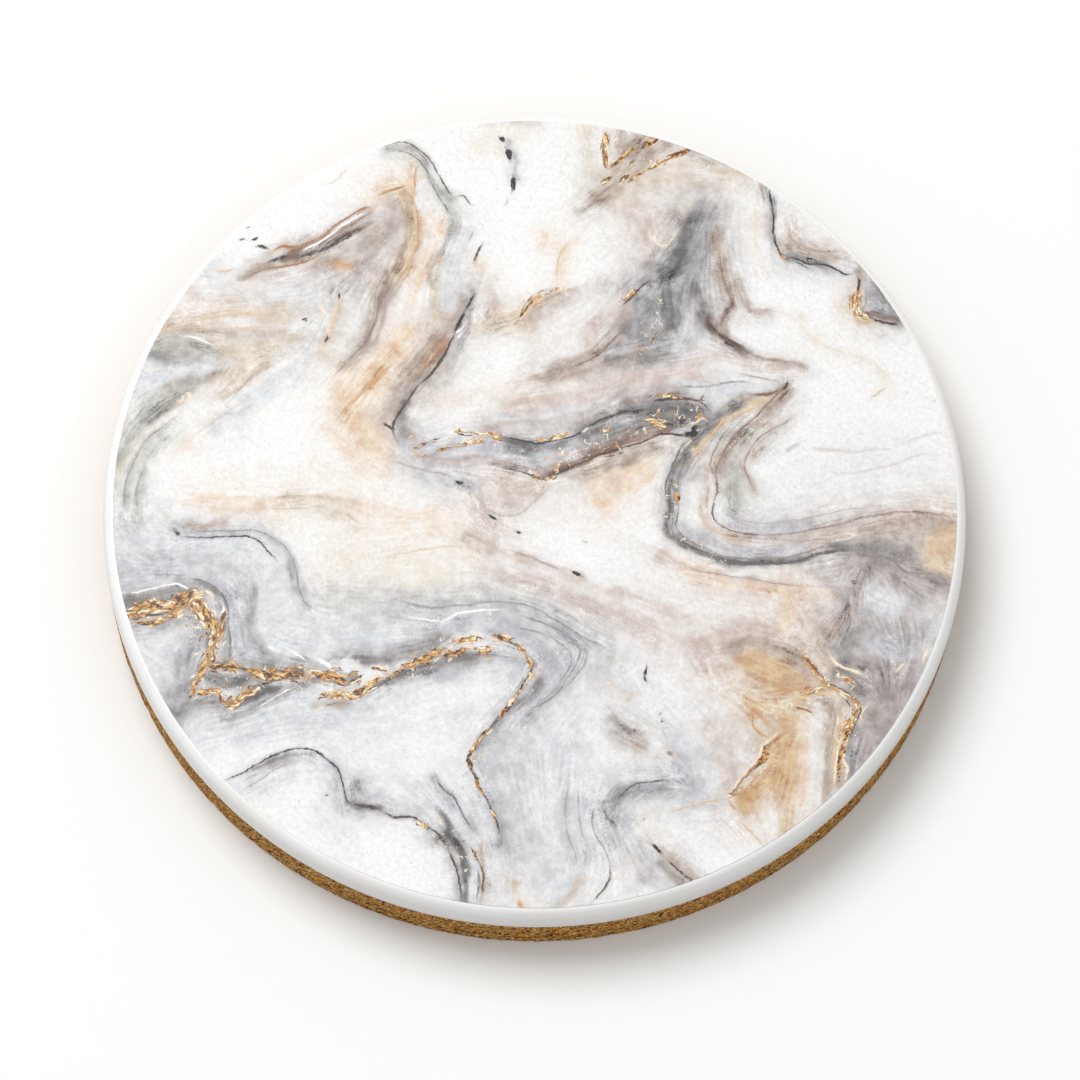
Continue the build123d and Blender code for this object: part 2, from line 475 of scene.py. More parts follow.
    (BROWN, 0.4, 0.8, 0.2, (-4.4, 4.4, -2.4, 4, -0.6, 3.2, 0.8, 3.2)),
    (PEACH, 0.8, 3, 3, (8, 1.6, 9.6, 3.4, 12, 4.6)),
    (ROSE, 0.25, 1.3, 1.3, (8.2, 1.6, 9, 3.4)),
    (TAUPE, 0.8, 1.2, 1.2, (5.6, 4.2, 9, 5.6, 13, 7.4)),
    (ROSE, 0.9, 2.2, 2.2, (-4, 2.6, -2.8, 0.6, -2, 1.4, -0.4, 2)),
    (ROSE, 0.6, 2.4, 2.4, (-6.4, 1.6, -5.6, -1.6, -5.4, -4)),
    (MIST, 0.6, 1.6, 1.6, (-13, 3.6, -10, 3, -7, 2)),
    (TAUPE, 0.3, 0.9, 0.9, (-7.6, -3.8, -6, -4.6, -5, -5.6)),
    # Middle, upper: sand and taupe sweeps towards the slate cloud
    (PEACH, 0.2, 1.6, 1.6, (-12, 12.4, -8, 13, -4, 14, 0, 15.2, 4, 16.6)),
    (TAUPE, 0.6, 1, 1.5, (-1, 15.6, 2.4, 16.2, 5.6, 17.2, 9, 18.4, 12, 19.4)),
    (TAUPE, 0.7, 1.6, 0.9, (1.6, 16.4, 4.6, 18, 7.4, 19.8, 9.6, 22, 10.6, 24.4)),
    (ROSE, 0.7, 1.2, 1.2, (5, 21, 7.4, 23.2, 9, 25.6, 10, 27)),
    (SMOKE, 0.7, 0.8, 1.3, (8, 18.6, 10.4, 18.6, 13, 19, 15.6, 19.6)),
    (STEEL, 0.4, 1.6, 1.4, (8.2, 19.8, 11, 20.4, 14, 20.6, 16.6, 20.8)),
    (SMOKE, 0.75, 1.3, 1, (9.6, 21.8, 12, 21.8, 14.4, 22.4)),
    (PEARL, 0.8, 1.3, 1.3, (-5, 10, 0, 10.6, 4, 11.6, 8, 13.6, 12, 15.4)),
    (TAUPE, 0.5, 0.9, 0.9, (-6, 9, -1, 9.8, 3, 10.4, 6.6, 12.2, 10, 14.4, 14, 15.8)),
    (ROSE, 0.7, 1.2, 1.6, (-3, 11.6, 2, 12.8, 7, 14.8, 12, 16.4, 18, 17)),
    (SAND, 0.15, 0.8, 0.8, (-4, 12, -1.6, 12.4, 1, 13.2)),
    # Slate cloud
    (STEEL, 0.75, 2.4, 2.6, (11, 27.4, 13.4, 28.8, 15.6, 30.4, 17, 32.6, 18, 35)),
    (SLATE, 0.7, 1.6, 2, (18.2, 38, 17.6, 35.6, 17.2, 33, 16.2, 31, 14.6, 29.6)),
    (STEEL, 0.8, 0.8, 2, (19.4, 37.6, 18.8, 35.4, 18.8, 32.6, 18.2, 30)),
    (COAL, 0.45, 0.8, 0.8, (15.9, 30.7, 15.4, 29.9, 14.8, 29)),
    (SLATE, 0.6, 1.4, 1.6, (14.2, 28.2, 14.8, 26.4, 15.2, 24.4, 16, 23)),
    (SLATE, 0.75, 0.8, 0.9, (14.8, 27, 14.9, 25, 15.4, 23.4)),
    (STEEL, 0.6, 1.5, 1.5, (12, 25.6, 11, 23.6, 10.6, 22)),
    (STEEL, 0.8, 1.3, 1.3, (18, 29.8, 17.6, 27.6, 16.8, 25)),
    (PEARL, 0.65, 1.4, 1.4, (17.4, 24, 16.6, 21.6, 16, 19.6)),
    (STEEL, 0.65, 1.6, 1.6, (12.4, 25, 13, 23, 13, 21.4)),
    (TAUPE, 0.2, 1.6, 1.6, (15.6, 38, 14.4, 36, 13.2, 33.4, 12.6, 31.2)),
    (ROSE, 0.6, 1.6, 1.6, (10.6, 37.4, 11.6, 35.4, 12, 33)),
    (TAUPE, 0.75, 0.9, 1.1, (20, 34.6, 20.6, 31.6, 21.2, 28.8, 21.6, 26, 21.2, 24, 21.2, 22.2)),
    (BROWN, 0.45, 0.6, 0.6, (20.6, 30, 21.4, 27.8, 21.6, 26, 20.8, 24.2)),
    (SMOKE, 0.8, 0.5, 0.9, (17.8, 28, 18.6, 25.6, 19.6, 23.6, 20.9, 21.9, 22.6, 20.9, 24.6, 19.9)),
    (BROWN, 0.75, 0.3, 0.5, (19.4, 24, 20.2, 22.7, 21.6, 21.4, 23.4, 20.4)),
    (TAUPE, 0.45, 0.5, 0.7, (22.4, 30, 23, 27.6, 23.8, 25.9, 25, 25.2, 26.6, 25.4)),
    (TAUPE, 0.6, 0.5, 0.9, (24, 20, 26, 19.3, 28.4, 18.9, 30.6, 18.5)),
    (ROSE, 0.5, 1, 1.2, (17, 18.4, 20, 19.2, 24, 19, 29, 18.6)),
    # Top
    (TAUPE, 0.55, 1.6, 1.6, (12, 47, 10, 45, 8.6, 43, 7.4, 41)),
    (TAUPE, 0.7, 0.9, 1.1, (13.6, 46.8, 12, 44.8, 10.4, 42.6, 8.4, 40.6, 6.4, 39.2)),
    (TAUPE, 0.3, 0.7, 0.7, (8.4, 41, 6.6, 39.6, 5.2, 38, 3.4, 36.8)),
    (TAUPE, 0.7, 0.8, 0.8, (8.6, 47.6, 8.4, 46, 9.6, 45.4, 11, 46)),
    (FAWN, 0.45, 2.8, 3.4, (9, 40.8, 13, 42, 18, 43.2, 23, 43)),
    (ROSE, 0.15, 2, 2, (8, 38.4, 12, 39, 16, 40)),
    (SAGE, 0.4, 0.8, 0.8, (16.5, 45.8, 18.5, 44.6, 20.4, 43.4)),
    (FAWN, 0.3, 1.4, 1.4, (4, 48.4, 4.6, 45.4, 5, 42.6)),
    (PEACH, 0.5, 0.6, 0.6, (3.7, 48.6, 3.9, 47.6)),
    (ROSE, 0.6, 0.3, 1, (-7, 48.2, -4.6, 48.4, -2, 48.9)),
    (CREAM, 0.5, 2, 2, (-8, 45.5, -5, 46.6)),
    (STEEL, 0.5, 0.5, 0.5, (-5.2, 45.6, -4.2, 43.4, -3.8, 41)),
    # Upper middle: peach thread and taupe patch
    (PEACH, 0.4, 1, 1, (3.4, 33.4, 2.2, 32.2, 1.6, 30.4, 1.6, 28.4, 2, 27)),
    (PEACH, 0.5, 0.8, 0.8, (-0.2, 34.2, -0.2, 32.8)),
    (TAUPE, 0.6, 0.5, 1.5, (-2.6, 23.4, -0.8, 24.6, 0.8, 25.4, 2.6, 26.6)),
    (SAND, 0.8, 0.8, 0.8, (-4.6, 23, -2.6, 23.6, -1.4, 24.8, -0.2, 25.6)),
    (FAWN, 0.6, 1.2, 1.2, (-6.6, 22, -4, 22.8, -1.6, 22.2)),
    (ROSE, 0.6, 0.9, 0.9, (-6.2, 26.6, -5.8, 24.6, -6.4, 22.8)),
    (PEACH, 0.4, 0.9, 0.9, (-7.6, 31, -7.2, 29)),
    # Upper right corner
    (STEEL, 0.6, 0.3, 0.7, (26.4, 41, 26.8, 38.6, 26.8, 36, 27, 34)),
    (TAUPE, 0.6, 0.5, 0.5, (25.2, 41.8, 25.8, 40)),
    (CREAM, 0.7, 0.8, 0.8, (25, 39, 24.8, 36, 24.8, 33, 25.6, 30.6)),
    (ROSE, 0.7, 1.3, 1, (28.6, 36.4, 29, 35, 30.2, 34, 31.8, 33.4, 34, 33.4)),
    (TAUPE, 0.6, 0.5, 0.5, (29.2, 34.6, 30.4, 33.8, 31.8, 33.4)),
    (TAUPE, 0.45, 1.4, 1, (28.6, 33.6, 31, 33, 34, 32.4)),
    (SMOKE, 0.75, 0.8, 0.9, (28.8, 32.2, 31, 31.8, 33.2, 31.4)),
    (TAUPE, 0.85, 0.9, 0.5, (36.7, 31.4, 37.2, 29.8, 37.4, 28, 37.2, 26.4)),
    (SAND, 0.8, 0.5, 0.9, (37.2, 28.2, 36.7, 26.8, 37, 25.6, 38, 24.8)),
    (MIST, 0.8, 1.6, 1.6, (38.6, 29, 39, 27.4, 39.8, 25.8)),
    (SMOKE, 0.9, 1.2, 1.3, (39.4, 29.4, 40.6, 27.2, 42, 25.2)),
    (BROWN, 0.7, 0.5, 0.6, (38, 25.4, 39.6, 25, 41.6, 24.7)),
    (CREAM, 0.6, 0.9, 0.9, (30, 24.4, 31.2, 22.6, 33, 21.4, 36, 20.2, 39, 19, 40.4, 16.8)),
    # Right: striped fold
    (PEARL, 0.9, 1, 1.4, (17.4, 15.6, 20, 15, 23, 15.4, 26, 15.8)),
    (TAUPE, 0.55, 0.6, 0.7, (29, 16.2, 27, 15.2, 24.6, 14.6, 22.6, 13.4)),
    (SMOKE, 0.95, 1, 0.8, (22.4, 13, 20.6, 11, 18.8, 9.2, 17.4, 7.2, 16.2, 5)),
    (SAND, 0.7, 0.6, 0.5, (27.8, 14.6, 25.2, 13.8, 22.6, 12, 20.2, 9.8, 18.4, 7.6)),
    (TAUPE, 0.7, 1.3, 1.1, (28.6, 15, 26.6, 12.6, 24.8, 10.4, 23, 8.4, 21.6, 6.4, 21.2, 4.4,
     21.4, 2.8)),
    (BROWN, 0.2, 0.4, 0.4, (28.8, 15.6, 27, 13, 25, 10.6, 23.2, 8.6)),
    (SAGE, 0.6, 1.3, 1, (25, 9.4, 23.4, 7, 22.8, 4.6, 22.6, 2.2, 23, 0.4)),
    (ROSE, 0.6, 0.5, 0.9, (30, 12.2, 27.6, 10.8, 25.6, 9, 24.6, 6.8)),
    (TAUPE, 0.65, 0.4, 1.1, (24.4, 5, 25.2, 4, 25.6, 2.6)),
    (ROSE, 0.9, 0.6, 0.7, (19.8, 6, 19.6, 3, 19.4, 0.4, 20, -1.8, 22, -3, 25, -3.5)),
    (MIST, 0.7, 0.9, 0.9, (22.6, -0.6, 25, -1.8, 28, -1.8, 31.6, -1.2)),
    (TAUPE, 0.5, 0.3, 1.2, (23, -2.8, 27, -3, 31, -2.4, 35, -1.6, 39, -0.2)),
    (STEEL, 0.8, 0.8, 0.8, (17, 5, 15.9, 3, 15.8, 0.8, 15.7, -1.4, 16, -3)),
    (BROWN, 0.6, 0.3, 0.3, (16.9, 6.4, 15.6, 4, 15.1, 2, 15.6, 0.2, 15.2, -2, 16, -3.6)),
    (MIST, 0.6, 1.5, 0.4, (17.4, -3.4, 20, -4.6, 24, -5.4, 28, -5.2, 32, -4, 35, -3.2)),
    (SMOKE, 0.8, 0.8, 0.4, (16, -3.4, 18, -4.7, 21, -5.6, 25, -6.1, 29, -6, 32.6, -5, 36, -4)),
    (SLATE, 0.85, 0.4, 0.3, (16.6, -4, 19, -5.1, 22, -5.9, 26, -6.2, 30, -5.9, 33.4, -4.9)),
    (ROSE, 0.6, 0.5, 2, (15, -5.4, 18, -6.8, 22, -7.7, 26, -8.5, 30, -9)),
    (PEACH, 0.45, 1.4, 1.6, (18, -7.4, 23, -9, 28, -9.6, 31, -9.4, 34, -10)),
    # Right edge: mauve field
    (MAUVE, 0.5, 5, 5, (39, -5, 42, -10, 43, -17, 42, -24, 40, -30)),
    (MAUVE, 0.75, 4, 4, (38, -11, 40, -18, 41, -24, 39, -30)),
    (ROSE, 0.9, 1.4, 2, (33, -3.2, 37, -1.8, 41, -0.4, 45, -0.4, 49, -1)),
    (TAUPE, 0.55, 1.2, 1.4, (38, -1.8, 41, -1, 44, -0.6, 48.6, -1)),
    (SAND, 0.95, 2.2, 2.2, (49, -2.4, 46.4, -3.6, 46.8, -5.6)),
    (SMOKE, 0.6, 1.2, 1.4, (34.4, -4, 37, -3.8, 40, -3.4, 42, -4.6, 43.6, -6.4)),
    (MAUVE, 0.9, 1.6, 1.6, (38, -5.6, 41, -6, 44, -7.4, 48, -8.6)),
    (PEARL, 0.95, 2.2, 2.2, (39.6, -10.4, 41.2, -10.6)),
    (MIST, 0.8, 2.6, 2.6, (39, -15.6, 42, -16)),
    (SMOKE, 0.5, 1.5, 1.5, (36.8, -13.6, 36, -16, 35.4, -18.4)),
    (SMOKE, 0.7, 1.8, 1.5, (34, -15.8, 35.4, -18, 37.4, -20.2, 38.4, -21.4)),
    (MIST, 0.5, 1.4, 1.4, (44, -24, 41.6, -28.6)),
    (STEEL, 0.55, 0.8, 1.4, (37.6, -26, 37.6, -29, 37, -31.6)),
    (TAUPE, 0.5, 0.9, 0.9, (35, -13.4, 33.6, -15, 33, -16.4)),
    # Lower right: ochre clouds
    (ROSE, 0.15, 2.4, 2.4, (16, -14, 20, -17, 21, -20)),
    (PEACH, 0.6, 1.6, 1.6, (29, -10, 29.6, -13, 29, -16)),
    (ROSE, 1, 3, 2.6, (20, -17.4, 25, -16, 30, -16.4, 33, -18)),
    (OCHRE, 0.6, 2.8, 2.8, (25, -18.4, 27.4, -19.4, 30.4, -20)),
    (OCHRE, 0.55, 1.8, 1.8, (25.8, -18.6, 27.6, -19.8, 29, -20.8)),
    (TAUPE, 0.8, 0.8, 1.2, (22.6, -16.2, 26, -16, 29.4, -17, 32, -19)),
    (SAND, 0.75, 1.4, 1.4, (25, -23.4, 28, -24.4, 30.6, -24.8)),
    (OCHRE, 0.6, 0.9, 0.9, (25.4, -24.4, 28.2, -25.6, 29.8, -25)),
    (FAWN, 0.6, 1.5, 1.5, (27, -25.6, 28.4, -26.2)),
    (OCHRE, 0.8, 2.6, 2, (30, -27.6, 28.8, -30, 28, -33, 25.6, -35)),
    (OCHRE, 0.7, 1, 1.6, (30.3, -29.6, 30.2, -32, 29.6, -34.4)),
    (OCHRE, 0.65, 1.2, 1.2, (26.4, -32.6, 25, -34.6, 24.6, -36)),
    (WHITE, 0.35, 1.8, 1.2, (27.2, -35.4, 27.6, -37.4, 28, -38.8)),
    (SAND, 0.8, 1.2, 1, (30.2, -35, 30, -37, 29.8, -39)),
    (WHITE, 0.4, 1.6, 1.6, (32.6, -25.4, 33, -28.6, 32.8, -32, 32.4, -35.4)),
    (PEACH, 0.6, 0.6, 0.9, (31.6, -25.4, 31.4, -28, 31.4, -31, 31.2, -35)),
    (TAUPE, 0.75, 0.5, 0.6, (32.6, -22.8, 34.4, -23.4, 35, -25, 34.8, -27.6, 34.3, -30.6,
     33.8, -34.6)),
    (SAND, 0.7, 0.7, 0.7, (35.6, -24, 35.8, -26, 35.2, -29, 34.9, -32.6)),
    # Bottom right
    (PEARL, 0.85, 3, 3, (17, -28, 19, -31, 19.6, -34)),
    (MIST, 0.5, 2, 2, (17.4, -31.4, 19.4, -33.6)),
    (ROSE, 0.6, 2, 2, (21.6, -27.6, 22.6, -30.6, 23.4, -33)),
    (MAUVE, 0.85, 0.9, 0.9, (9.6, -26, 10.6, -27.2, 12.2, -27.6)),
    (SMOKE, 0.5, 0.8, 0.8, (10.4, -26.8, 11.4, -27.4)),
    (TAUPE, 0.5, 1.2, 1.2, (11.6, -28.6, 12.8, -29.4)),
    (PEARL, 0.8, 1.6, 1.6, (9.6, -21, 11, -22)),
    (ROSE, 0.6, 1.2, 1.2, (9.8, -22, 11.6, -23.6)),
    (ROSE, 0.5, 0.9, 0.9, (16.2, -29.6, 17, -30.6)),
    (STEEL, 0.8, 1.3, 0.5, (10, -38.2, 9.4, -36.8, 10.6, -35.4, 12, -34.2, 14, -33.8)),
    (STEEL, 0.6, 0.5, 1.6, (9.8, -37.6, 11.4, -35.6, 14, -34, 17.6, -33.6)),
    (MIST, 0.5, 2.4, 2.4, (11, -38, 12.4, -41, 14, -44)),
    (TAUPE, 0.2, 1.2, 1.2, (12.6, -43, 13.6, -44.6)),
    (TAUPE, 0.8, 0.9, 1.4, (15.6, -41.6, 17.6, -43.4, 19.4, -44.6)),
    (SMOKE, 0.5, 0.5, 0.9, (15.6, -43.2, 17, -44.4, 18, -45.4)),
    (CREAM, 0.3, 0.8, 0.3, (10.6, -43.6, 10.3, -45, 9.4, -46.6, 8.6, -48.2)),
    (CREAM, 0.4, 1.5, 1.5, (13.4, -37.6, 15, -39.6)),
    # Long taupe diagonals under the middle
    (ROSE, 0.7, 0.4, 1.3, (-7, -4.6, -3.6, -5.8, 0, -7, 4, -8.2, 8, -9.6, 12, -11, 17, -12.8)),
    (ROSE, 0.55, 1.5, 1.7, (-5, -8.8, 0, -9.9, 4, -11, 8, -12.6, 11, -14, 14, -15.6)),
    (TAUPE, 0.35, 0.7, 0.7, (-3, -9.8, 1, -10.6, 5, -11.8, 9, -13.4)),
    (MIST, 0.45, 2, 2, (-16, -13.6, -10, -13.6, -4, -13.2, 2, -14.4, 8, -16.6)),
    (SLATE, 0.4, 0.8, 0.8, (-35, -23.1, -33.4, -23.4, -31.8, -23)),
    (SLATE, 0.1, 0.7, 0.7, (-39.8, -28.2, -38.8, -26.2, -38.2, -24.6)),
    (SMOKE, 0.42, 0.7, 0.7, (-34, -27.8, -31.4, -26.6, -29.2, -25.2, -27, -24.2)),
))

VEINS = tuple(Vein(*row) for row in (
    # Upper left fold
    (RUST, 0.8, 0.15, (-32.3, 30.1, -31.2, 31, -29.6, 30.9, -28.6, 31.3, -27, 32.3, -25, 34,
     -23, 35.6, -21.5, 36.6, -20.4, 36.9)),
    (BLACK, 1, 0.2, (-33, 28.7, -32, 29.2, -31, 29.6, -30.3, 29.9)),
    (BROWN, 0.6, 0.07, (-28.8, 30.6, -27.5, 31.3, -26.2, 32.2, -25, 33, -22.5, 34.7, -20.6, 36.2)),
    (UMBER, 0.75, 0.15, (-29.5, 29.6, -28, 30.2, -26, 31.1, -24, 32.5, -22.4, 33.6, -21, 34)),
    (RUST, 0.7, 0.12, (-35.4, 26.6, -33, 27.9, -30.5, 28.5, -28, 29.3, -26, 30.4)),
    (AMBER, 0.6, 0.1, (-26, 28.7, -24.6, 29.4, -23.8, 29.1, -22.6, 29.3)),
    (BROWN, 0.5, 0.09, (-26, 29, -25, 29.5, -24, 30)),
    (RUST, 0.7, 0.1, (-20.2, 38.1, -18.7, 38.8, -17.3, 39.2, -16.5, 39.3)),
    (AMBER, 0.7, 0.12, (-15.7, 38.5, -15.8, 40.4, -15.6, 42.6)),
    (RUST, 0.4, 0.1, (-17.2, 39, -16.4, 38.4, -15.6, 36.8, -15, 34.4, -14.9, 32, -15.5, 29.9)),
    (TAUPE, 0.7, 0.1, (-15.5, 29.9, -16.8, 27.9, -18, 25.4, -18.6, 22.8, -19.2, 20.4, -20.6, 18.5,
     -22, 16.4)),
    (BROWN, 0.45, 0.1, (-18.3, 27, -19.3, 24, -20, 21, -21.5, 18, -23, 15.5)),
    (SLATE, 0.7, 0.09, (-19.7, 44.6, -18, 45.2, -16.5, 44.8, -14.8, 43.6, -13.5, 42, -12.4, 40.3,
     -11.3, 38.4, -10.9, 38.1)),
    (SLATE, 0.6, 0.08, (-19.2, 44.3, -17.2, 43.9, -15.8, 43, -14.5, 41.5, -13.5, 39.8, -12.6, 38,
     -11.9, 36.9, -11.1, 35.8)),
    (BROWN, 0.7, 0.08, (-10.9, 38.2, -10.3, 38.5, -9.7, 38.3, -9.2, 37.5, -8.6, 37.3)),
    (TAUPE, 0.6, 0.08, (-11, 35.6, -11.6, 33.5, -12.3, 31, -13.2, 28.7, -13.2, 26.4)),
    (SMOKE, 0.6, 0.08, (-8.4, 34.3, -8.9, 32.8)),
    (UMBER, 0.95, 0.18, (-7.2, 32.5, -7.8, 31.4, -8.4, 30)),
    (BLACK, 1, 0.26, (-5.8, 46.3, -5.2, 45.8)),
    (BLACK, 1, 0.36, (-4.9, 44.9, -4.6, 44.2, -4.4, 43.3)),
    (BLACK, 1, 0.22, (-4, 41.4, -4.1, 40.3, -4.3, 39.2)),
    (BROWN, 0.5, 0.07, (-4.5, 38.6, -4.8, 37.9, -5, 37.3)),
    (BLACK, 1, 0.2, (-34.6, 31.8, -34.3, 32, -34, 32.2)),
    (BLACK, 1, 0.24, (-34.1, 31, -33.4, 31, -32.5, 30.7)),
    (BROWN, 0.85, 0.2, (-36, 31.8, -35.4, 31.9)),
    (SAND, 0.7, 0.12, (-39, 27.8, -37.5, 27.7, -36, 28.1)),
    (SAND, 0.5, 0.12, (-45.4, 18.9, -42.5, 20.1, -40, 20.3, -36, 20.2, -33, 20.8, -30, 20.9)),
    (SAND, 0.7, 0.1, (-45, 19.2, -42.5, 20.7, -40, 21.4, -37, 22.2, -34, 22.5, -31, 22)),
    (WHITE, 0.7, 0.1, (-42.3, 19.3, -40.5, 19, -39, 18.5, -38, 17.9)),
    (BLACK, 0.9, 0.14, (-24, 25.5, -24.1, 24.7)),
    (SAND, 0.6, 0.1, (-24, 25, -24.2, 23, -24.4, 21.5, -25.2, 19.5, -25.8, 17.6)),
    (BLACK, 0.9, 0.14, (-25.1, 20, -25.3, 19)),
    # Left
    (SAND, 0.4, 0.08, (-48.6, -1, -48.2, 1.5, -47, 4, -45.5, 6.5, -43.5, 8.8, -41.5, 10.8, -39, 13,
     -37.6, 14.6, -37.3, 16)),
    (SLATE, 0.45, 0.09, (-46, 8.2, -44, 10, -42, 11.5, -40, 13)),
    (SMOKE, 0.55, 0.07, (-47.4, -3, -47.3, 0, -46.6, 3, -45, 6, -42.5, 8.6)),
    (SMOKE, 0.5, 0.07, (-45.8, -3, -45.9, 0, -45, 3.5)),
    (SAND, 0.35, 0.08, (-41.5, 5, -40, 6.7, -38.5, 8, -37, 9.5)),
    (TAUPE, 0.6, 0.08, (-36, 11.5, -34.5, 13, -33, 15, -31, 16.5)),
    (BLACK, 1, 0.2, (-41.4, -5.5, -40.9, -5.8)),
    (COAL, 0.85, 0.1, (-40.6, -6, -38.5, -6, -36.8, -5.9, -35, -5.7, -33.5, -5.7, -32.5, -5.9,
     -31.5, -6.3, -30.8, -7, -30, -7.6, -29.3, -8.4)),
    (SMOKE, 0.6, 0.07, (-39, -5.3, -35, -5, -32, -4.9, -29.5, -5.8, -27.8, -7.5, -27, -9.5,
     -26.7, -11.5, -26, -13.5, -24.5, -14.2)),
    (TAUPE, 0.7, 0.08, (-39, -4.7, -37.5, -4.6, -35.8, -4.2)),
    (SAND, 0.3, 0.1, (-39, -0.8, -36.5, -1, -33, -0.7, -30, -1, -28, -0.6)),
    (UMBER, 0.8, 0.17, (-18.2, 9.2, -17.4, 8.7, -16.6, 8.4)),
    (AMBER, 0.5, 0.1, (-17, 17, -19, 15, -21, 12.5, -22.5, 10.5, -23.5, 9)),
    # Black line through the upper middle
    (BLACK, 0.9, 0.12, (-7.9, 26.3, -8.3, 25.4, -8.6, 24.6, -9, 23.7)),
    (BLACK, 0.95, 0.22, (-8.9, 23.9, -9.3, 22.9, -9.8, 21.7, -10.1, 20.8)),
    (UMBER, 0.9, 0.13, (-9.9, 21.3, -10.5, 19.8, -11, 18.6, -12, 17, -12.8, 15.6, -14, 14)),
    (UMBER, 0.85, 0.12, (-13.7, 14.4, -15.2, 12.2, -16.2, 10.8, -16.9, 9.5, -16.9, 8, -16.3, 6.6)),
    (TAUPE, 0.7, 0.07, (-17.3, 10, -16.5, 12, -15.2, 13.4, -13.8, 15)),
    (TAUPE, 0.6, 0.09, (-17, 4.6, -14.5, 3.9, -12, 3.3, -10, 2.9, -9.2, 2.3)),
    (BLACK, 1, 0.15, (-9.3, 2.2, -8.8, 2, -8.3, 2.05)),
    (BROWN, 0.35, 0.09, (-6.1, 1.2, -5.9, -0.2, -5.4, -1.1, -4, -1.6, -2, -1.5, -0.8, -0.9, 0.2, 0.3,
     0.8, 1.6, 1.3, 2.8)),
    (BLACK, 1, 0.2, (-5.4, -1.6, -4.9, -1.9, -4.4, -2.2)),
    (BLACK, 1, 0.17, (-2.1, -3.5, -1.7, -3.6, -1.3, -3.7)),
    (BLACK, 1, 0.19, (4.5, -8.2, 5.1, -8.55, 5.6, -8.8)),
    (SMOKE, 0.5, 0.08, (5.6, -4.4, 6.4, -4.6)),
    # Lens
    (COAL, 0.8, 0.1, (-4.2, 7.9, -2, 7.6, 0, 7.4, 1.5, 7.8, 3.5, 8.3, 5, 9, 6.5, 10, 8, 11, 10, 11.8,
     12, 12)),
    (SLATE, 0.8, 0.24, (-3.6, 7.4, -2, 7.2, -0.4, 7.1)),
    (UMBER, 0.75, 0.1, (-4.4, 4.2, -2.5, 4, -1, 3.4, 0, 3, 1.5, 3.4, 3.5, 4.3, 6, 5.6, 8, 6.5,
     10, 7.4, 12, 8, 14, 9, 15.5, 9.3, 18, 9)),
    (BLACK, 1, 0.34, (16.7, 9.3, 17.7, 9.35, 18.6, 9.8)),
    (UMBER, 0.7, 0.12, (12.6, 13.1, 14.4, 13.5, 16, 13.6, 18, 13.6, 19.4, 13.1, 20.2, 12)),
    (BROWN, 0.5, 0.1, (3, 17, 6, 18.5, 8, 20.5, 9.5, 22.5)),
    (TAUPE, 0.7, 0.12, (2, 17, 5, 19, 8, 22, 10, 26)),
    (UMBER, 0.85, 0.12, (9, 25, 9.8, 26, 10.7, 26.9, 11.8, 28.2, 13, 28.8)),
    (BROWN, 0.65, 0.09, (18.4, 13.3, 19.2, 14.6)),
    # Stripes right of the slate cloud
    (BROWN, 0.4, 0.1, (20.3, 34, 20.8, 31, 21.3, 28.5, 21.8, 26, 21, 24, 20.5, 22)),
    (BROWN, 0.35, 0.12, (20.6, 21.9, 22, 21, 24.5, 19.8, 27, 19.2, 30, 18.8, 31, 18.3)),
    (UMBER, 0.6, 0.2, (19.2, 24.4, 20, 23, 21.4, 21.6, 24, 20)),
    (TAUPE, 0.6, 0.09, (22, 30.6, 22.8, 28, 23.5, 26, 25, 25.2, 26.3, 25.5, 27.6, 25.2)),
    (COAL, 0.6, 0.14, (14.6, 29.6, 15.4, 30.3, 16, 31)),
    # Upper middle: small lines
    (BROWN, 0.45, 0.08, (-6.2, 22, -4, 22.8, -3, 23.5)),
    (SAND, 0.7, 0.1, (1.8, 27.5, 1.4, 29, 1.6, 31, 2.2, 32.5, 3, 33.3)),
    # Top
    (SMOKE, 0.6, 0.12, (8.4, 41.2, 6.8, 39.8, 5.3, 38, 3.5, 36.8)),
    (TAUPE, 0.7, 0.09, (7.9, 47.4, 7.7, 46.2, 8.6, 45.6, 9.8, 46)),
    (TAUPE, 0.7, 0.1, (16, 46, 19, 45, 20, 44.7)),
    (SAND, 0.7, 0.09, (19, 43, 20.5, 42.8, 22, 43.5)),
    # Upper right corner
    (COAL, 0.9, 0.12, (26.3, 41.3, 26.6, 39.3, 26.9, 37.5, 26.9, 35.5, 27.2, 34, 27.6, 33, 28.2, 32.1,
     29, 31.7)),
    (COAL, 0.9, 0.12, (28.7, 32.2, 30, 31.9, 31, 31.5, 33, 31.5, 34.2, 31, 35.2, 30.4, 36, 30.4,
     36.5, 30.6)),
    (COAL, 0.8, 0.07, (29.5, 31.8, 30.5, 31.2, 31.3, 30.8)),
    (BLACK, 0.85, 0.09, (30.7, 32.2, 31.6, 32.2, 32.3, 31.8)),
    (UMBER, 0.9, 0.14, (36.5, 30.6, 37, 29.8, 37, 28.5, 36.9, 27.5, 36.9, 26.5, 37.5, 25.4,
     38.5, 24.9, 40, 24.4, 42.2, 24.1)),
    (SMOKE, 0.7, 0.09, (37.7, 25.6, 39, 25.3, 40.5, 25.1, 41.5, 24.9)),
    (TAUPE, 0.5, 0.14, (28.7, 36.5, 28.9, 34.8, 30, 33.9, 31.5, 33.4, 33.5, 33.3, 35.3, 33.7)),
    (SAND, 0.2, 0.08, (25, 39, 24.7, 36, 24.9, 33, 25.4, 31)),
    (TAUPE, 0.7, 0.11, (25.2, 41.9, 25.8, 40)),
    (SAND, 0.25, 0.08, (30, 24.5, 31, 22.5, 32.5, 21.5, 34, 20.8, 37, 20, 39, 19, 40.5, 17)),
    # Right: striped fold
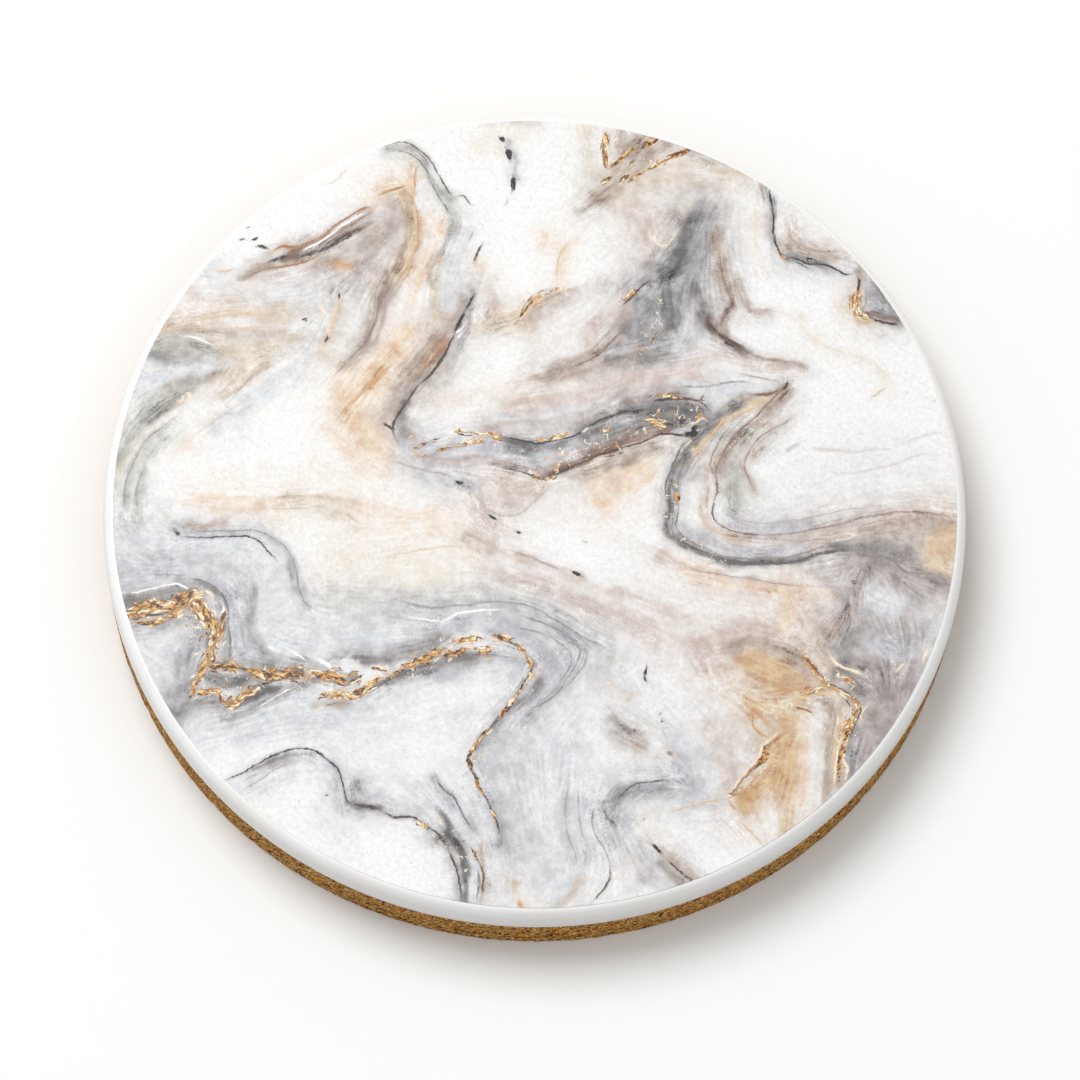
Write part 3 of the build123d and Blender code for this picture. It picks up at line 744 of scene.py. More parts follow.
    (BROWN, 0.7, 0.08, (28.9, 16, 27.5, 14.5, 26, 12.8, 24.5, 11, 22.8, 9, 21.5, 7, 20.8, 5, 21, 3,
     20.7, 1, 20.5, -0.5, 21.2, -1.7, 22.5, -2.4, 24.5, -2.8, 27, -2.8)),
    (BROWN, 0.5, 0.08, (26.6, -2.8, 30, -2.4, 33, -1.8, 36, -0.9, 38.5, 0, 41, 0.6, 44, 0.8,
     46.5, 0.5, 48.6, 0.2)),
    (BROWN, 0.6, 0.07, (22.5, 10.5, 21, 8.5, 20.2, 6.5, 20.3, 4.7, 20.9, 4, 21.2, 2.7, 20.6, 1)),
    (SAND, 0.6, 0.11, (28, 14.5, 25.5, 13.9, 23.5, 12.7, 21.5, 11, 20, 9.4, 19, 8.2, 18, 7)),
    (SLATE, 0.7, 0.1, (20, 11, 18.5, 9, 16.8, 8, 16, 6, 15.2, 3.7, 15, 2, 15.5, 0, 15.2, -2.2,
     16, -3.6)),
    (SLATE, 0.75, 0.16, (16, -3.6, 17.5, -4.4, 19, -5.1, 21, -5.7, 24, -6.2, 27, -6.3, 30, -6, 33, -5,
     36, -4.2)),
    (SMOKE, 0.7, 0.09, (17.4, 6.5, 16.6, 4, 16.2, 1.5, 16.4, -0.5, 16.3, -2.3, 17.3, -3.7, 19, -4.6,
     22, -5.6, 26, -5.7, 29, -5.5, 32, -4.6, 35, -3.7)),
    (BROWN, 0.5, 0.08, (30.1, 12.1, 28.5, 11.1, 27, 10.4, 25.7, 9.2, 24.6, 7.5, 24.1, 6, 24.2, 5,
     24.8, 3.6, 25.3, 2.5)),
    (TAUPE, 0.5, 0.07, (22, 0.8, 22.8, -0.5, 24.5, -1.1, 27, -1.3, 30, -1, 33, -0.2, 36, 0.6,
     39, 1.2)),
    (SAND, 0.8, 0.1, (19.2, 1.2, 19.3, -1, 20, -2.3, 21.8, -3.2, 24, -3.7)),
    (TAUPE, 0.8, 0.09, (28, -3.2, 31, -3.4, 34, -3.1, 36, -2.5)),
    (BROWN, 0.45, 0.1, (22.5, 17.5, 26, 16.8, 28.6, 16.2)),
    (SMOKE, 0.6, 0.1, (16, 15, 19, 15.5, 22, 16.2, 25, 16.4)),
    (BROWN, 0.7, 0.12, (24.4, 14.7, 26.6, 14.7, 28.4, 15.6)),
    (TAUPE, 0.3, 0.16, (31, 8.2, 36, 8, 42, 8.5)),
    (TAUPE, 0.3, 0.14, (33, 5.2, 37, 5.4, 41, 6.3, 44, 7.9, 46, 8)),
    (TAUPE, 0.4, 0.26, (28.5, 7.3, 29.5, 8.2, 30.8, 8.9)),
    (SAND, 0.7, 0.09, (38.5, 14.6, 40.5, 16.3)),
    (TAUPE, 0.3, 0.1, (42, 9, 45, 10.5, 47.5, 11)),
    (TAUPE, 0.3, 0.1, (45.3, 14.3, 46.3, 15)),
    # Right edge
    (SMOKE, 0.7, 0.13, (36, -4.2, 38.5, -4.9, 41, -5.2, 43, -6.5, 46, -7)),
    (BROWN, 0.4, 0.08, (17, -7, 20, -7.8, 24, -8.2, 28, -8.8, 31, -9)),
    (TAUPE, 0.3, 0.1, (28, -9.5, 29, -11.5, 29.8, -13.5)),
    (BONE, 0.9, 0.1, (45.6, -15.9, 45, -17.6)),
    (BONE, 0.9, 0.09, (43.1, -17.9, 41.9, -19.1)),
    (TAUPE, 0.35, 0.1, (38, -5, 37.3, -7.5, 36.8, -9.5, 36.5, -12, 35.5, -13.5, 34.2, -15.5)),
    # Long taupe diagonals
    (BROWN, 0.4, 0.08, (-3, -5.8, -2, -6.2, 0, -7, 2, -7.7, 4, -8.4)),
    (TAUPE, 0.3, 0.08, (-4, -8.8, 0, -10, 4, -10.8, 8, -12.3, 11, -13.8, 13, -15)),
    (SAND, 0.5, 0.09, (-17, -7.4, -13, -6.6, -10, -6, -7, -5.8)),
    (WHITE, 0.9, 0.1, (-14.5, -14.8, -12, -15, -10, -14.8, -8.4, -13.9, -6, -13.4, -3, -13.4)),
    (SMOKE, 0.55, 0.07, (-16, -12.5, -12, -13.6, -8, -12.9, -4, -12.4, 0, -12.9, 3, -14.4, 6, -16.4,
     9, -17.4)),
    (SMOKE, 0.65, 0.08, (-1.4, -14, 2, -15, 5, -16.8, 5.8, -18.4, 4.6, -21, 2.2, -24, -0.8, -26)),
    (SMOKE, 0.55, 0.07, (-2.6, -15.4, 1, -16, 4, -17.6, 4.8, -19.4, 3.4, -22, 1, -24.6)),
    # Lower left gold: dark companions
    (WHITE, 0.8, 0.09, (-46.8, -13, -44, -12.6, -42, -12, -40.5, -11.8, -39, -12.6, -38.2, -13.2)),
    (SLATE, 0.6, 0.1, (-40, -11, -37.6, -11.3, -36, -12.2, -34.9, -14.2, -34.3, -17, -34, -20)),
    (BLACK, 0.9, 0.17, (-31.2, -23.7, -30, -23.2, -29, -22.8, -27.4, -22.6)),
    (UMBER, 0.7, 0.12, (-46, -16.4, -43.4, -15.6, -41.4, -15.3, -39.6, -14.3, -38.4, -13.9)),
    (UMBER, 0.7, 0.12, (-37.6, -23.6, -38.2, -25.2, -38.4, -26)),
    (UMBER, 0.6, 0.1, (-33.2, -26, -31.4, -24.8, -30.7, -23.8)),
    (UMBER, 0.9, 0.11, (0.4, -19.4, 0.1, -21, -0.8, -22.6, -2.5, -25.2, -4.6, -28.1, -6, -30.2,
     -6.4, -31.6, -5.6, -33.1, -4.6, -35.2, -3.6, -37, -3.1, -38.6, -2.6, -40.3)),
    (COAL, 0.8, 0.15, (-19.2, -24.5, -17.8, -23.6, -16.4, -22.4)),
    (SLATE, 0.6, 0.13, (-17, -22.6, -14.6, -21.6, -12.4, -20.8, -10, -19.5)),
    (BROWN, 0.5, 0.1, (-23, -26, -22.2, -25.6, -21.5, -25.5)),
    # Bottom left
    (COAL, 0.95, 0.1, (-33.9, -35.1, -31, -33.6, -29, -32.4, -27, -31.4, -25, -31, -23.6, -31.3,
     -22.2, -32.2, -20.9, -33.4, -20.4, -34.8, -19.9, -36.5, -19.4, -37.7)),
    (TAUPE, 0.6, 0.08, (-32, -36.2, -30, -35, -28, -33.6, -26, -32.8)),
    (UMBER, 0.8, 0.16, (-19.2, -37.3, -17.3, -37.6, -15.8, -37.9)),
    (UMBER, 0.85, 0.1, (-16.2, -37.8, -14.8, -38.6, -13.5, -38.4, -12.3, -38.6, -11.2, -39.3,
     -10.3, -39.9, -9, -40.9, -8, -42.3)),
    (UMBER, 0.8, 0.1, (-8.2, -42, -7.2, -44.3, -6.8, -46, -6.6, -48.3)),
    (SLATE, 0.8, 0.08, (-9.9, -33.4, -9.2, -34.7, -8.5, -35.4, -7.6, -36.1, -7, -37.2, -6.3, -38.7,
     -5.4, -40.1)),
    (BROWN, 0.75, 0.1, (-5.9, -41.2, -5, -43, -4.3, -44.5, -4.1, -46, -4.2, -48.2)),
    (SMOKE, 0.7, 0.1, (-4.9, -44, -4.6, -46, -4.8, -48.4)),
    # Bottom middle and right
    (SMOKE, 0.6, 0.08, (8, -36, 7.8, -38, 8.3, -40, 9.3, -41.5, 10, -43.5)),
    (SLATE, 0.8, 0.1, (9.9, -43, 10.1, -44.8, 9.1, -46.5, 8.1, -48.1)),
    (SMOKE, 0.4, 0.07, (5, -34, 4.8, -37, 5.2, -40, 6, -42, 6.2, -44)),
    (SMOKE, 0.4, 0.07, (6.2, -37, 6.5, -39, 7.3, -41)),
    (BLACK, 0.95, 0.15, (14.6, -40.7, 15.9, -41.9)),
    (COAL, 0.8, 0.09, (16.4, -42.4, 17, -43, 18.5, -44.3, 19.8, -45.1)),
    (TAUPE, 0.8, 0.12, (15.8, -43.4, 17.2, -44.6, 18.2, -45.4)),
    (SLATE, 0.7, 0.09, (8.7, -36.5, 9.6, -37.8, 10.4, -38.9)),
    (SLATE, 0.7, 0.08, (10, -36.2, 11.3, -34.9, 12, -34, 13.3, -33.4, 15, -33.3, 16.8, -33.1)),
    (BLACK, 0.9, 0.12, (13.4, -19.5, 13.2, -20.8, 13.6, -21.7)),
    (SAND, 0.8, 0.08, (16.4, -36.6, 18.2, -36.2, 20.1, -35.6, 22.7, -35.1)),
    (SAND, 0.7, 0.1, (24.3, -37.5, 26, -39, 27.4, -40.4)),
    (SMOKE, 0.6, 0.16, (15.8, -29.8, 16.6, -30.3)),
    # Lower right: ochre clouds
    (TAUPE, 0.3, 0.2, (24, -16, 28, -17, 31, -18.5)),
    (TAUPE, 0.75, 0.1, (33, -22.8, 34.5, -23.2, 35.1, -24.5, 35, -26.5, 34.5, -29, 34.2, -31.5,
     33.8, -34.6)),
    (RUST, 0.7, 0.11, (29.9, -26.9, 28.2, -27.9, 27.1, -29, 26.9, -30.1, 26, -31.2, 24.9, -32.3,
     24, -33.4, 23.4, -34.5, 22.7, -35.1)),
    (AMBER, 0.6, 0.1, (23, -35, 23.6, -36, 24.3, -36.7)),
    (AMBER, 0.4, 0.25, (25, -23.2, 26.4, -24.6, 27.4, -25.6, 28.6, -26.8)),
    # Pale threads and dark accents over the rest
    (BONE, 0.8, 0.07, (12, 35.6, 12.4, 34.2, 13.4, 33.2, 14.5, 33.4, 15.4, 34.6, 16.3, 36)),
    (WHITE, 0.85, 0.08, (-8.7, 22.3, -9.3, 21.4, -10.5, 20.6)),
    (WHITE, 0.8, 0.07, (-8.9, 21.2, -9.8, 20.2)),
    (BLACK, 0.9, 0.22, (17.7, 9.8, 18.5, 10.6)),
    (BONE, 0.85, 0.09, (17.1, 10.5, 18.2, 10.9, 19, 11.4, 19.7, 11.1)),
    (BONE, 0.85, 0.09, (17.2, 8.1, 17.8, 8.7)),
    (WHITE, 0.85, 0.09, (0.6, 7.7, 1.8, 7.9, 3.2, 8.3)),
    (WHITE, 0.85, 0.11, (4.7, 8.8, 5.6, 9.3, 6.3, 9.8)),
    (COAL, 0.8, 0.16, (28.4, 15.2, 28.8, 15.8, 29, 16.6)),
    (WHITE, 0.85, 0.16, (-29, 30.4, -27.4, 31.4, -25.2, 33.2, -23, 35, -21.2, 36.3)),
    (UMBER, 0.8, 0.1, (-28.4, 29.9, -26.4, 30.8, -24.6, 32, -23.6, 32.8)),
    (SAND, 0.5, 0.08, (-26.6, 39.2, -25, 40, -23.6, 41.7)),
    (BONE, 0.9, 0.12, (38.6, -22.7, 38, -24.1, 37.3, -26, 36.6, -27.5, 36.3, -29.7, 36.6, -30.8,
     36.3, -32.7)),
    (BONE, 0.85, 0.1, (36.2, -26.4, 35.8, -27.9, 35.4, -30.1, 35.1, -32.3, 35.2, -33.2)),
    (BONE, 0.9, 0.13, (34, -16.7, 34.9, -17.9, 36, -18.6, 37.3, -19.1, 38.6, -19.6)),
    (BONE, 0.85, 0.08, (29.4, -26.6, 27.9, -27.6, 26.7, -28.9, 26.5, -30, 25.6, -31.2, 24.6, -32.1,
     23.7, -33.3, 23.1, -34.4)),
    (SMOKE, 0.5, 0.07, (3, -14.2, 5.8, -16.4, 6.6, -18.4, 5.6, -20.6, 3.6, -23.2)),
    (BONE, 0.85, 0.12, (35.6, -19.7, 36.7, -20.1, 37.5, -20.6)),
    (GILT, 0.95, 0.17, (30.8, -17.3, 31.9, -18.2, 33.2, -19.7, 34.1, -20.8, 35.6, -21.6, 36.9, -22.3,
     37.5, -23.4, 37.3, -24.9, 36.7, -26.6, 36.2, -27.9, 35.8, -30.1, 35.6, -32.3)),
    (GILT_LIGHT, 0.9, 0.15, (30.1, -23.4, 31.2, -22.5, 32.7, -21.7, 34.1, -21.9, 35.3, -22.1)),
    (GILT, 0.9, 0.12, (30.6, -21.9, 31.9, -21.4, 33.4, -21.2, 34.5, -21)),
    (GILT_DEEP, 0.9, 0.13, (30.3, -23.6, 31.6, -24, 32.7, -24.5)),
    (AMBER, 0.7, 0.1, (26.2, -24, 25.7, -25.3, 26.4, -26.7, 27.9, -27.5, 29.3, -26.7, 29.9, -25.8)),
    (UMBER, 0.85, 0.07, (31.3, -17.3, 32.4, -18.4, 33.6, -19.6, 34.5, -20.6, 35.9, -21.3, 37.2, -22.1,
     37.9, -23.4, 37.7, -24.9, 37.1, -26.6, 36.6, -27.9)),
    (AMBER, 0.6, 0.1, (26.6, -22.7, 28.2, -21.9, 30.1, -21.4)),
    (UMBER, 0.85, 0.09, (-29.4, 29.5, -27.4, 30.2, -25.4, 31.2, -23.6, 32.4, -21.4, 33.7)),
    (BONE, 0.9, 0.16, (-37.6, -12.3, -36.7, -12.9, -36.4, -13.7)),
    (WHITE, 0.9, 0.15, (-35.5, -13.5, -35.2, -14.6, -35.5, -15.6)),
    (BONE, 0.85, 0.13, (-36.9, -14.6, -36.2, -15.2, -35.9, -15.9)),
    (WHITE, 0.95, 0.3, (-24.4, -19.8, -23, -20.6, -21.9, -21.6, -21.4, -22.6)),
    (WHITE, 0.9, 0.22, (-23.7, -21.9, -22.6, -22.9, -22.7, -24.4)),
    (WHITE, 0.9, 0.2, (-21.5, -23.2, -20.5, -23.9, -19.7, -23.6)),
    (BLACK, 0.95, 0.13, (-30.6, -23.6, -29.6, -23, -28.6, -22.7, -27.2, -22.5, -26, -22.4)),
    (WHITE, 0.85, 0.13, (-30, -18.9, -28.8, -19.5)),
    (WHITE, 0.85, 0.12, (-27.8, -19.3, -26.2, -20.1, -25.2, -20.7)),
    (WHITE, 0.85, 0.14, (-38.6, -23.4, -37.4, -22.6, -36.9, -23.6)),
    (WHITE, 0.85, 0.1, (-30.4, -26.2, -28.4, -24.7, -26.6, -23.9)),
    (BONE, 0.9, 0.12, (-42.2, 10.5, -41.3, 11.2, -41.7, 11.7, -40.9, 12.1, -40.6, 11.4, -41.2, 10.9)),
    (GILT_LIGHT, 0.85, 0.1, (-19.6, 38.4, -18.6, 38.8, -17.6, 38.9, -16.6, 39.4)),
    (BONE, 0.85, 0.1, (-26.4, 23.9, -25.6, 23, -25.9, 22.2)),
    (PEACH, 0.9, 0.12, (-23.8, 25.2, -24.4, 23.4, -24.8, 21.6, -25.1, 19.8, -25.7, 17.6)),
))

FOILS = tuple(Foil(*row) for row in (
    # Lower left
    (0.7, 0.95, (-46.4, -16, -44, -15.1, -42, -14.8, -40.3, -14.2, -38.7, -13.4, -37.4, -12.9)),
    (0.3, 0.8, (-45.7, -16.6, -43, -16.5, -41, -15.6, -39.5, -14.3)),
    (0.75, 0.85, (-38.7, -13.4, -37.5, -15, -36.5, -16.2, -36, -17.5, -36.3, -19, -36, -20.5,
     -36.3, -21.8)),
    (0.42, 0.85, (-35, -14.8, -35.3, -16.5, -35.7, -18.5, -36.5, -20.5, -37.3, -22.5, -38, -24.5,
     -38.5, -25.9)),
    (0.55, 0.9, (-36.6, -21.7, -34, -21.4, -32, -21.8, -30, -22.2, -28, -22.3, -26.5, -22.2,
     -25.3, -22.6)),
    (0.42, 0.9, (-37.7, -25, -36, -24.4, -35.2, -24.4, -34.8, -25.2, -34.4, -25.6, -33.5, -24.8)),
    (0.5, 1, (-34.2, -26.5, -33, -25.6, -31.5, -24.6, -30.7, -23.4)),
    (0.8, 0.75, (-25.8, -22.4, -24, -22.2, -22, -22.4, -20.2, -22.6, -18.8, -21.8)),
    (0.42, 0.7, (-24.2, -24.9, -22.5, -24.4, -21, -24.2, -19.8, -24.4, -18.7, -23.8, -17.5, -22.8,
     -16.4, -21.9)),
    (0.34, 0.75, (-16.8, -22.1, -15.5, -21.3, -14, -20.8, -12.5, -20, -11.2, -19.3, -10, -18.3,
     -9.3, -17.6)),
    (0.3, 0.6, (-9.6, -17.8, -8, -17.1, -6.5, -16.9, -5.2, -17, -4, -17.5, -3.4, -18.3)),
    (0.3, 0.8, (-18.3, -20.9, -17, -21, -15.9, -21.3)),
    (0.3, 0.6, (-10, -19.2, -8.5, -18.7, -7, -18.5, -5.5, -18.4, -4, -18.3)),
    (0.36, 0.7, (-4.3, -16.6, -2.5, -17.1, -1.2, -17.8, -0.3, -18.7, 0.3, -19.8, 0.5, -20.8)),
    (0.26, 0.6, (0.5, -20.4, 0, -21.5, -0.8, -22.7, -1.5, -24, -2.5, -25.3, -3.5, -26.7)),
    (0.22, 0.5, (-3.3, -26.4, -4.5, -28, -5.2, -29, -5.9, -30.2, -6.5, -31.2, -6.2, -32, -5.7, -32.7)),
    (0.2, 0.45, (-5.9, -32.4, -5.3, -33.8, -4.7, -35, -4, -36, -3.5, -37.2, -3, -38.5, -2.9, -39.5,
     -2.5, -40.4)),
    (0.2, 0.4, (1.3, -20.6, 0.6, -22, -0.4, -23, -1.4, -24.3)),
    (0.25, 0.9, (-1.5, -40.9, -1.3, -41.2)),
    (0.25, 0.8, (-12.1, -38.6, -11.3, -39.2, -10.5, -40.1)),
    (0.2, 0.4, (-5.6, -41.6, -4.8, -43.2, -4.2, -44.6, -4.1, -46, -4.3, -47.6)),
    # Middle: both edges of the lens
    (0.32, 0.5, (-15.6, 5.9, -13.5, 6.5, -12, 7.2, -10.9, 8.1)),
    (0.32, 0.5, (-9.8, 8.3, -8, 8.3, -6, 8.2, -4.5, 7.9, -3.1, 7.6)),
    (0.32, 0.5, (-14, 5.8, -12.5, 5.4, -11, 6, -9, 6.5, -7, 7.3, -5.4, 7.8)),
    (0.22, 0.3, (-3, 7.9, 0, 7.7, 2.4, 8.4, 4.8, 9.4, 6.6, 10.6, 8.6, 11.6)),
    (0.26, 0.42, (-0.9, 3.4, 0.2, 3, 1.6, 3.2, 3.2, 4)),
    (0.26, 0.42, (4.4, 4.7, 6.4, 5.6, 8.4, 6.6, 10.4, 7.4, 12.4, 8.2)),
    (0.26, 0.42, (10.8, 9.2, 12.4, 10.4, 13.6, 10.6, 15.4, 10)),
    (0.26, 0.42, (12, 12.2, 13.4, 13.8, 15.6, 14.2, 17.4, 14)),
    (0.24, 0.6, (-3, 22.6, -2.4, 23.8, -1.8, 24.8, -0.8, 25.8, 0.2, 26.4, 2.4, 27.2)),
    (0.22, 0.45, (9.2, 25.6, 10.2, 26.6, 11.2, 27.6)),
    (0.22, 0.45, (12.4, 19.2, 12.9, 21, 13.4, 22.6, 13.6, 24)),
    # Top
    (0.32, 1, (6.3, 48.3, 6.7, 47, 6.4, 45.5, 6.6, 44, 7, 42.6)),
    (0.26, 1, (6.9, 42.8, 8, 43.7, 9.2, 44.6, 10.3, 45.6)),
    (0.22, 0.95, (9.6, 43, 10.6, 45, 11.8, 46.3, 13.2, 47.3)),
    (0.26, 0.9, (8.3, 40.9, 9.1, 41.8, 9.8, 42.2)),
    (0.24, 1, (9.3, 41, 11, 42.4, 13.4, 44, 15, 45, 17, 46.2)),
    (0.26, 0.85, (6.2, 40.2, 6.9, 41.2, 7.7, 42)),
    (0.22, 0.8, (18.3, 44.5, 18.9, 43.6)),
    # Right
    (0.3, 0.8, (16.2, 1.9, 16.3, 1.3, 16.3, 0.7)),
    (0.18, 0.5, (17.2, -4.4, 18.6, -5)),
    (0.18, 0.5, (22.3, -6.4, 24.2, -6.7)),
    (0.22, 0.9, (27.2, 33.4, 27.9, 32.5, 28.7, 31.8)),
    (0.34, 1, (37.3, 28.4, 36.7, 27.3, 36.8, 26, 37.6, 25.1, 38.4, 24.8)),
    (0.16, 0.6, (33.3, 33.4, 33.9, 33.4)),
    # Lower right
    (0.24, 0.75, (30.9, -17.3, 32.3, -18.2, 33.2, -19.3, 34, -20.6, 35, -21.5)),
    (0.34, 0.8, (35.2, -21.5, 36.6, -22.2, 37.3, -23.5, 37.2, -24.6, 36.5, -26.2, 36.2, -28)),
    (0.24, 0.7, (36.2, -27.8, 35.8, -30, 35.6, -32, 35.4, -33.2)),
    (0.3, 0.55, (30, -23, 31.5, -22.3, 32.5, -21.7, 34, -21.3, 35.1, -21.1)),
    (0.26, 0.5, (29.2, -24.4, 30.5, -23.7, 31.8, -23.8, 32.9, -24.6)),
    (0.24, 0.45, (28.8, -26.9, 27.4, -28.2, 26.8, -29.8, 26, -31.3, 24.8, -32.5, 24, -33.6, 23.1, -35)),
    (0.2, 0.5, (35.9, -19.9, 37.4, -20.4)),
    (0.2, 0.5, (36.9, -21, 38.3, -21.4)),
    (0.5, 0.4, (30, -22.6, 32, -22.4, 34, -22)),
))

FLECKS = tuple(Flecks(*row) for row in (
    (0.9, 3.4, (-38, -16, -36, -20)),
    (0.8, 2.4, (-34, -23.6, -30, -22.6, -25, -22.6)),
    (0.8, 1.9, (-22, -23.4, -17, -22, -12, -19.8, -8, -17.8, -4, -17.8)),
    (0.7, 1.6, (-1, -18, 0.2, -20.4, -1.4, -24)),
    (0.6, 1.4, (-4, -28, -5.6, -31)),
    (0.6, 2.2, (-15, 6, -11, 7, -6, 7.6)),
    (0.8, 2.2, (0, 4, 5, 6.6, 10, 9, 15, 11.6, 18, 12.4)),
    (0.7, 2, (10, 18, 12.6, 21, 13.4, 25)),
    (0.5, 1.5, (-2, 24.6, 2, 26.8)),
    (0.6, 1.9, (7.4, 46, 8, 43, 12, 43.6, 16, 45.6)),
    (0.7, 2, (32, -18, 35.6, -20.6, 37.4, -23, 36.4, -27)),
    (0.55, 1.7, (30, -24, 33, -23)),
    (0.45, 1.6, (-41.6, 10.8, -40, 12)),
    (0.4, 2, (-9, -39.6, -6.4, -44)),
    (0.35, 1.8, (16, 2, 16, -3, 22, -6)),
))

DOTS = tuple(Dot(*row) for row in (
    (BROWN, -35.3, 33.5, 0.17),
    (BLACK, -28, 21.9, 0.32),
    (UMBER, -29.6, 21.1, 0.2),
    (SLATE, -10.5, 2.8, 0.12),
    (UMBER, -7.4, 0.85, 0.14),
    (UMBER, 5.9, -8.95, 0.13),
    (BROWN, -22.3, -36.6, 0.17),
    (TAUPE, 13.5, -38, 0.2),
    (UMBER, 15, -25.2, 0.2),
    (UMBER, 15.5, -26, 0.18),
    (BROWN, 12, -27.3, 0.22),
    (PEACH, -0.3, 33.5, 0.5),
    (BROWN, 17.6, 46.3, 0.15),
    (RUST, 36.9, 27.2, 0.2),
    (UMBER, -12.4, 35.3, 0.12),
    (UMBER, 37.9, -5.1, 0.18),
    (BROWN, 37.2, -7.2, 0.13),
    (BLACK, 36.7, -8.4, 0.2),
    (BROWN, 36.9, -9.5, 0.13),
    (BROWN, 36.6, -11, 0.12),
    (AMBER, -0.2, -48.3, 0.4),
))


# ---- The pattern worked out at a set of spots


@dataclass(frozen=True)
class Lines:
    """The nearest line of one set at each spot: distance with and without side, half width and ink.

    The ink's fourth number is the line's strength, and run is the place along the line.
    """

    side: Array
    gap: Array
    half_width: Array
    ink: Array
    run: Array


@dataclass(frozen=True)
class Marbling:
    """Lays washes, veins, foil and flecks over spots of the face."""

    spots: Array
    wander: float = 0.22
    wander_size: float = 3.3
    fine_wander: float = 0.07
    fine_size: float = 1.1
    swirl: float = 0.9
    swirl_size: float = 2.6
    tight_share: float = 0.45
    tight_size: float = 0.9
    warmth: float = 0.06
    warmth_size: float = 16.0
    waver_size: float = 3.1
    waver_row: float = 3.7
    waver_least: float = 0.65
    waver_most: float = 1.35
    streak_length: float = 5.0
    streak_width: float = 0.55
    streak_row: float = 9.1
    streak_least: float = 0.35
    streak_play: float = 1.3
    fullest: float = 0.97
    halo_reach: float = 3.0
    halo_strength: float = 0.45
    boldness: float = 1.3
    fullness: float = 1.2
    line_reach: float = 1.6
    line_size: float = 2.2
    line_row: float = 5.3
    line_least: float = 0.6
    line_play: float = 0.8
    run_row: float = 31.7
    thin_end: float = 0.25
    faint_end: float = 0.35
    far_away: float = 9.0
    flow_core: float = 0.3
    flow_fall: float = 1.6
    fleck_plateau: float = 1.4

    @staticmethod
    def pushes(x: Array, y: Array, seed: int) -> Array:
        """Smooth random pushes in x and y, each from -0.5 to 0.5."""
        return np.column_stack([patches(x, y, seed) - 0.5, patches(x, y, seed + 1) - 0.5])

    @property
    def drawn(self) -> Array:
        """Spots moved a little by smooth noise, so that no line is quite as smooth as its trail."""
        x, y = self.spots.T
        coarse = self.pushes(x / self.wander_size, y / self.wander_size, Seed.WANDER)
        fine = self.pushes(x / self.fine_size, y / self.fine_size, Seed.FINE_WANDER)
        return self.spots + 2 * (self.wander * coarse + self.fine_wander * fine)

    @property
    def stirred(self) -> Array:
        """How far washes are moved by turbulence, as rows of x and y."""
        x, y = self.spots.T
        broad = self.pushes(x / self.swirl_size, y / self.swirl_size, Seed.BROAD_SWIRL)
        tight = self.pushes(x / self.tight_size, y / self.tight_size, Seed.TIGHT_SWIRL)
        return self.swirl * (broad + self.tight_share * tight)

    def tint(self, washes: Iterable[Wash]) -> Array:
        """Colour of the washes, laid one over the other in order.

        Args:
            washes: the washes, the lowest first.

        Returns:
            Rows of red, green and blue in linear light.
        """
        spots = self.drawn + self.stirred
        x, y = self.spots.T
        warm = layered(x / self.warmth_size, y / self.warmth_size, Seed.WARMTH)[:, None]
        warm *= self.warmth
        colour = WHITE.light * (1 - warm) + CREAM.light * warm
        halo = (self.halo_reach, self.halo_strength)
        for spread, boldness in (halo, (1.0, self.boldness)):
            for k, wash in enumerate(washes):
                room = max(wash.left, wash.right) * self.waver_most * self.fullness * spread
                near = Trail(wash.points).near(spots, room)
                level = np.full_like(near.run, k * self.waver_row)
                play = patches(near.run / self.waver_size, level, Seed.WAVER)
                waver = self.waver_least + (self.waver_most - self.waver_least) * play
                fade = np.where(near.side > 0, wash.left, wash.right) * waver * spread
                share = np.clip(1 - (near.side / (fade * self.fullness)) ** 2, 0, 1) ** 2
                across = near.side / self.streak_width + k * self.streak_row
                streak = layered(near.run / self.streak_length, across, Seed.STREAK)
                strength = wash.strength * boldness * (self.streak_least + self.streak_play * streak)
                cover = np.clip(strength * share, 0, self.fullest)[:, None]
                colour[near.index] = colour[near.index] * (1 - cover) + wash.ink.light * cover
        return colour

    def lines(self, veins: Iterable[Vein | Foil], taper: float) -> Lines:
        """Find the nearest line at each spot.

        Args:
            veins: the lines to look among.
            taper: length over which a line thins out at its ends, in millimetres.

        Returns:
            What the material needs to draw the nearest line.
        """
        spots = self.drawn
        count = len(spots)
        best = np.full(count, self.far_away)
        side, gap = np.full(count, self.far_away), np.full(count, self.far_away)
        width, run = np.zeros(count), np.zeros(count)
        ink = np.zeros((count, 4))
        for k, vein in enumerate(veins):
            near = Trail(vein.points).near(spots, vein.half_width + self.line_reach)
            whole = near.tapered(taper)
            level = np.full_like(near.run, k * self.line_row)
            size = vein.half_width * (self.thin_end + (1 - self.thin_end) * whole)
            swell = patches(near.run / self.line_size, level, Seed.LINE_WIDTH)
            size *= self.line_least + self.line_play * swell
            closer = np.abs(near.side) - size < best[near.index]
            chosen = near.index[closer]
            best[chosen] = (np.abs(near.side) - size)[closer]
            side[chosen], gap[chosen] = near.side[closer], np.abs(near.side)[closer]
            width[chosen], run[chosen] = size[closer], near.run[closer] + self.run_row * k
            ink[chosen, :3] = vein.ink.light if isinstance(vein, Vein) else 0
            ink[chosen, 3] = vein.strength * (self.faint_end + (1 - self.faint_end) * whole[closer])
        return Lines(side, gap, width, ink, run)

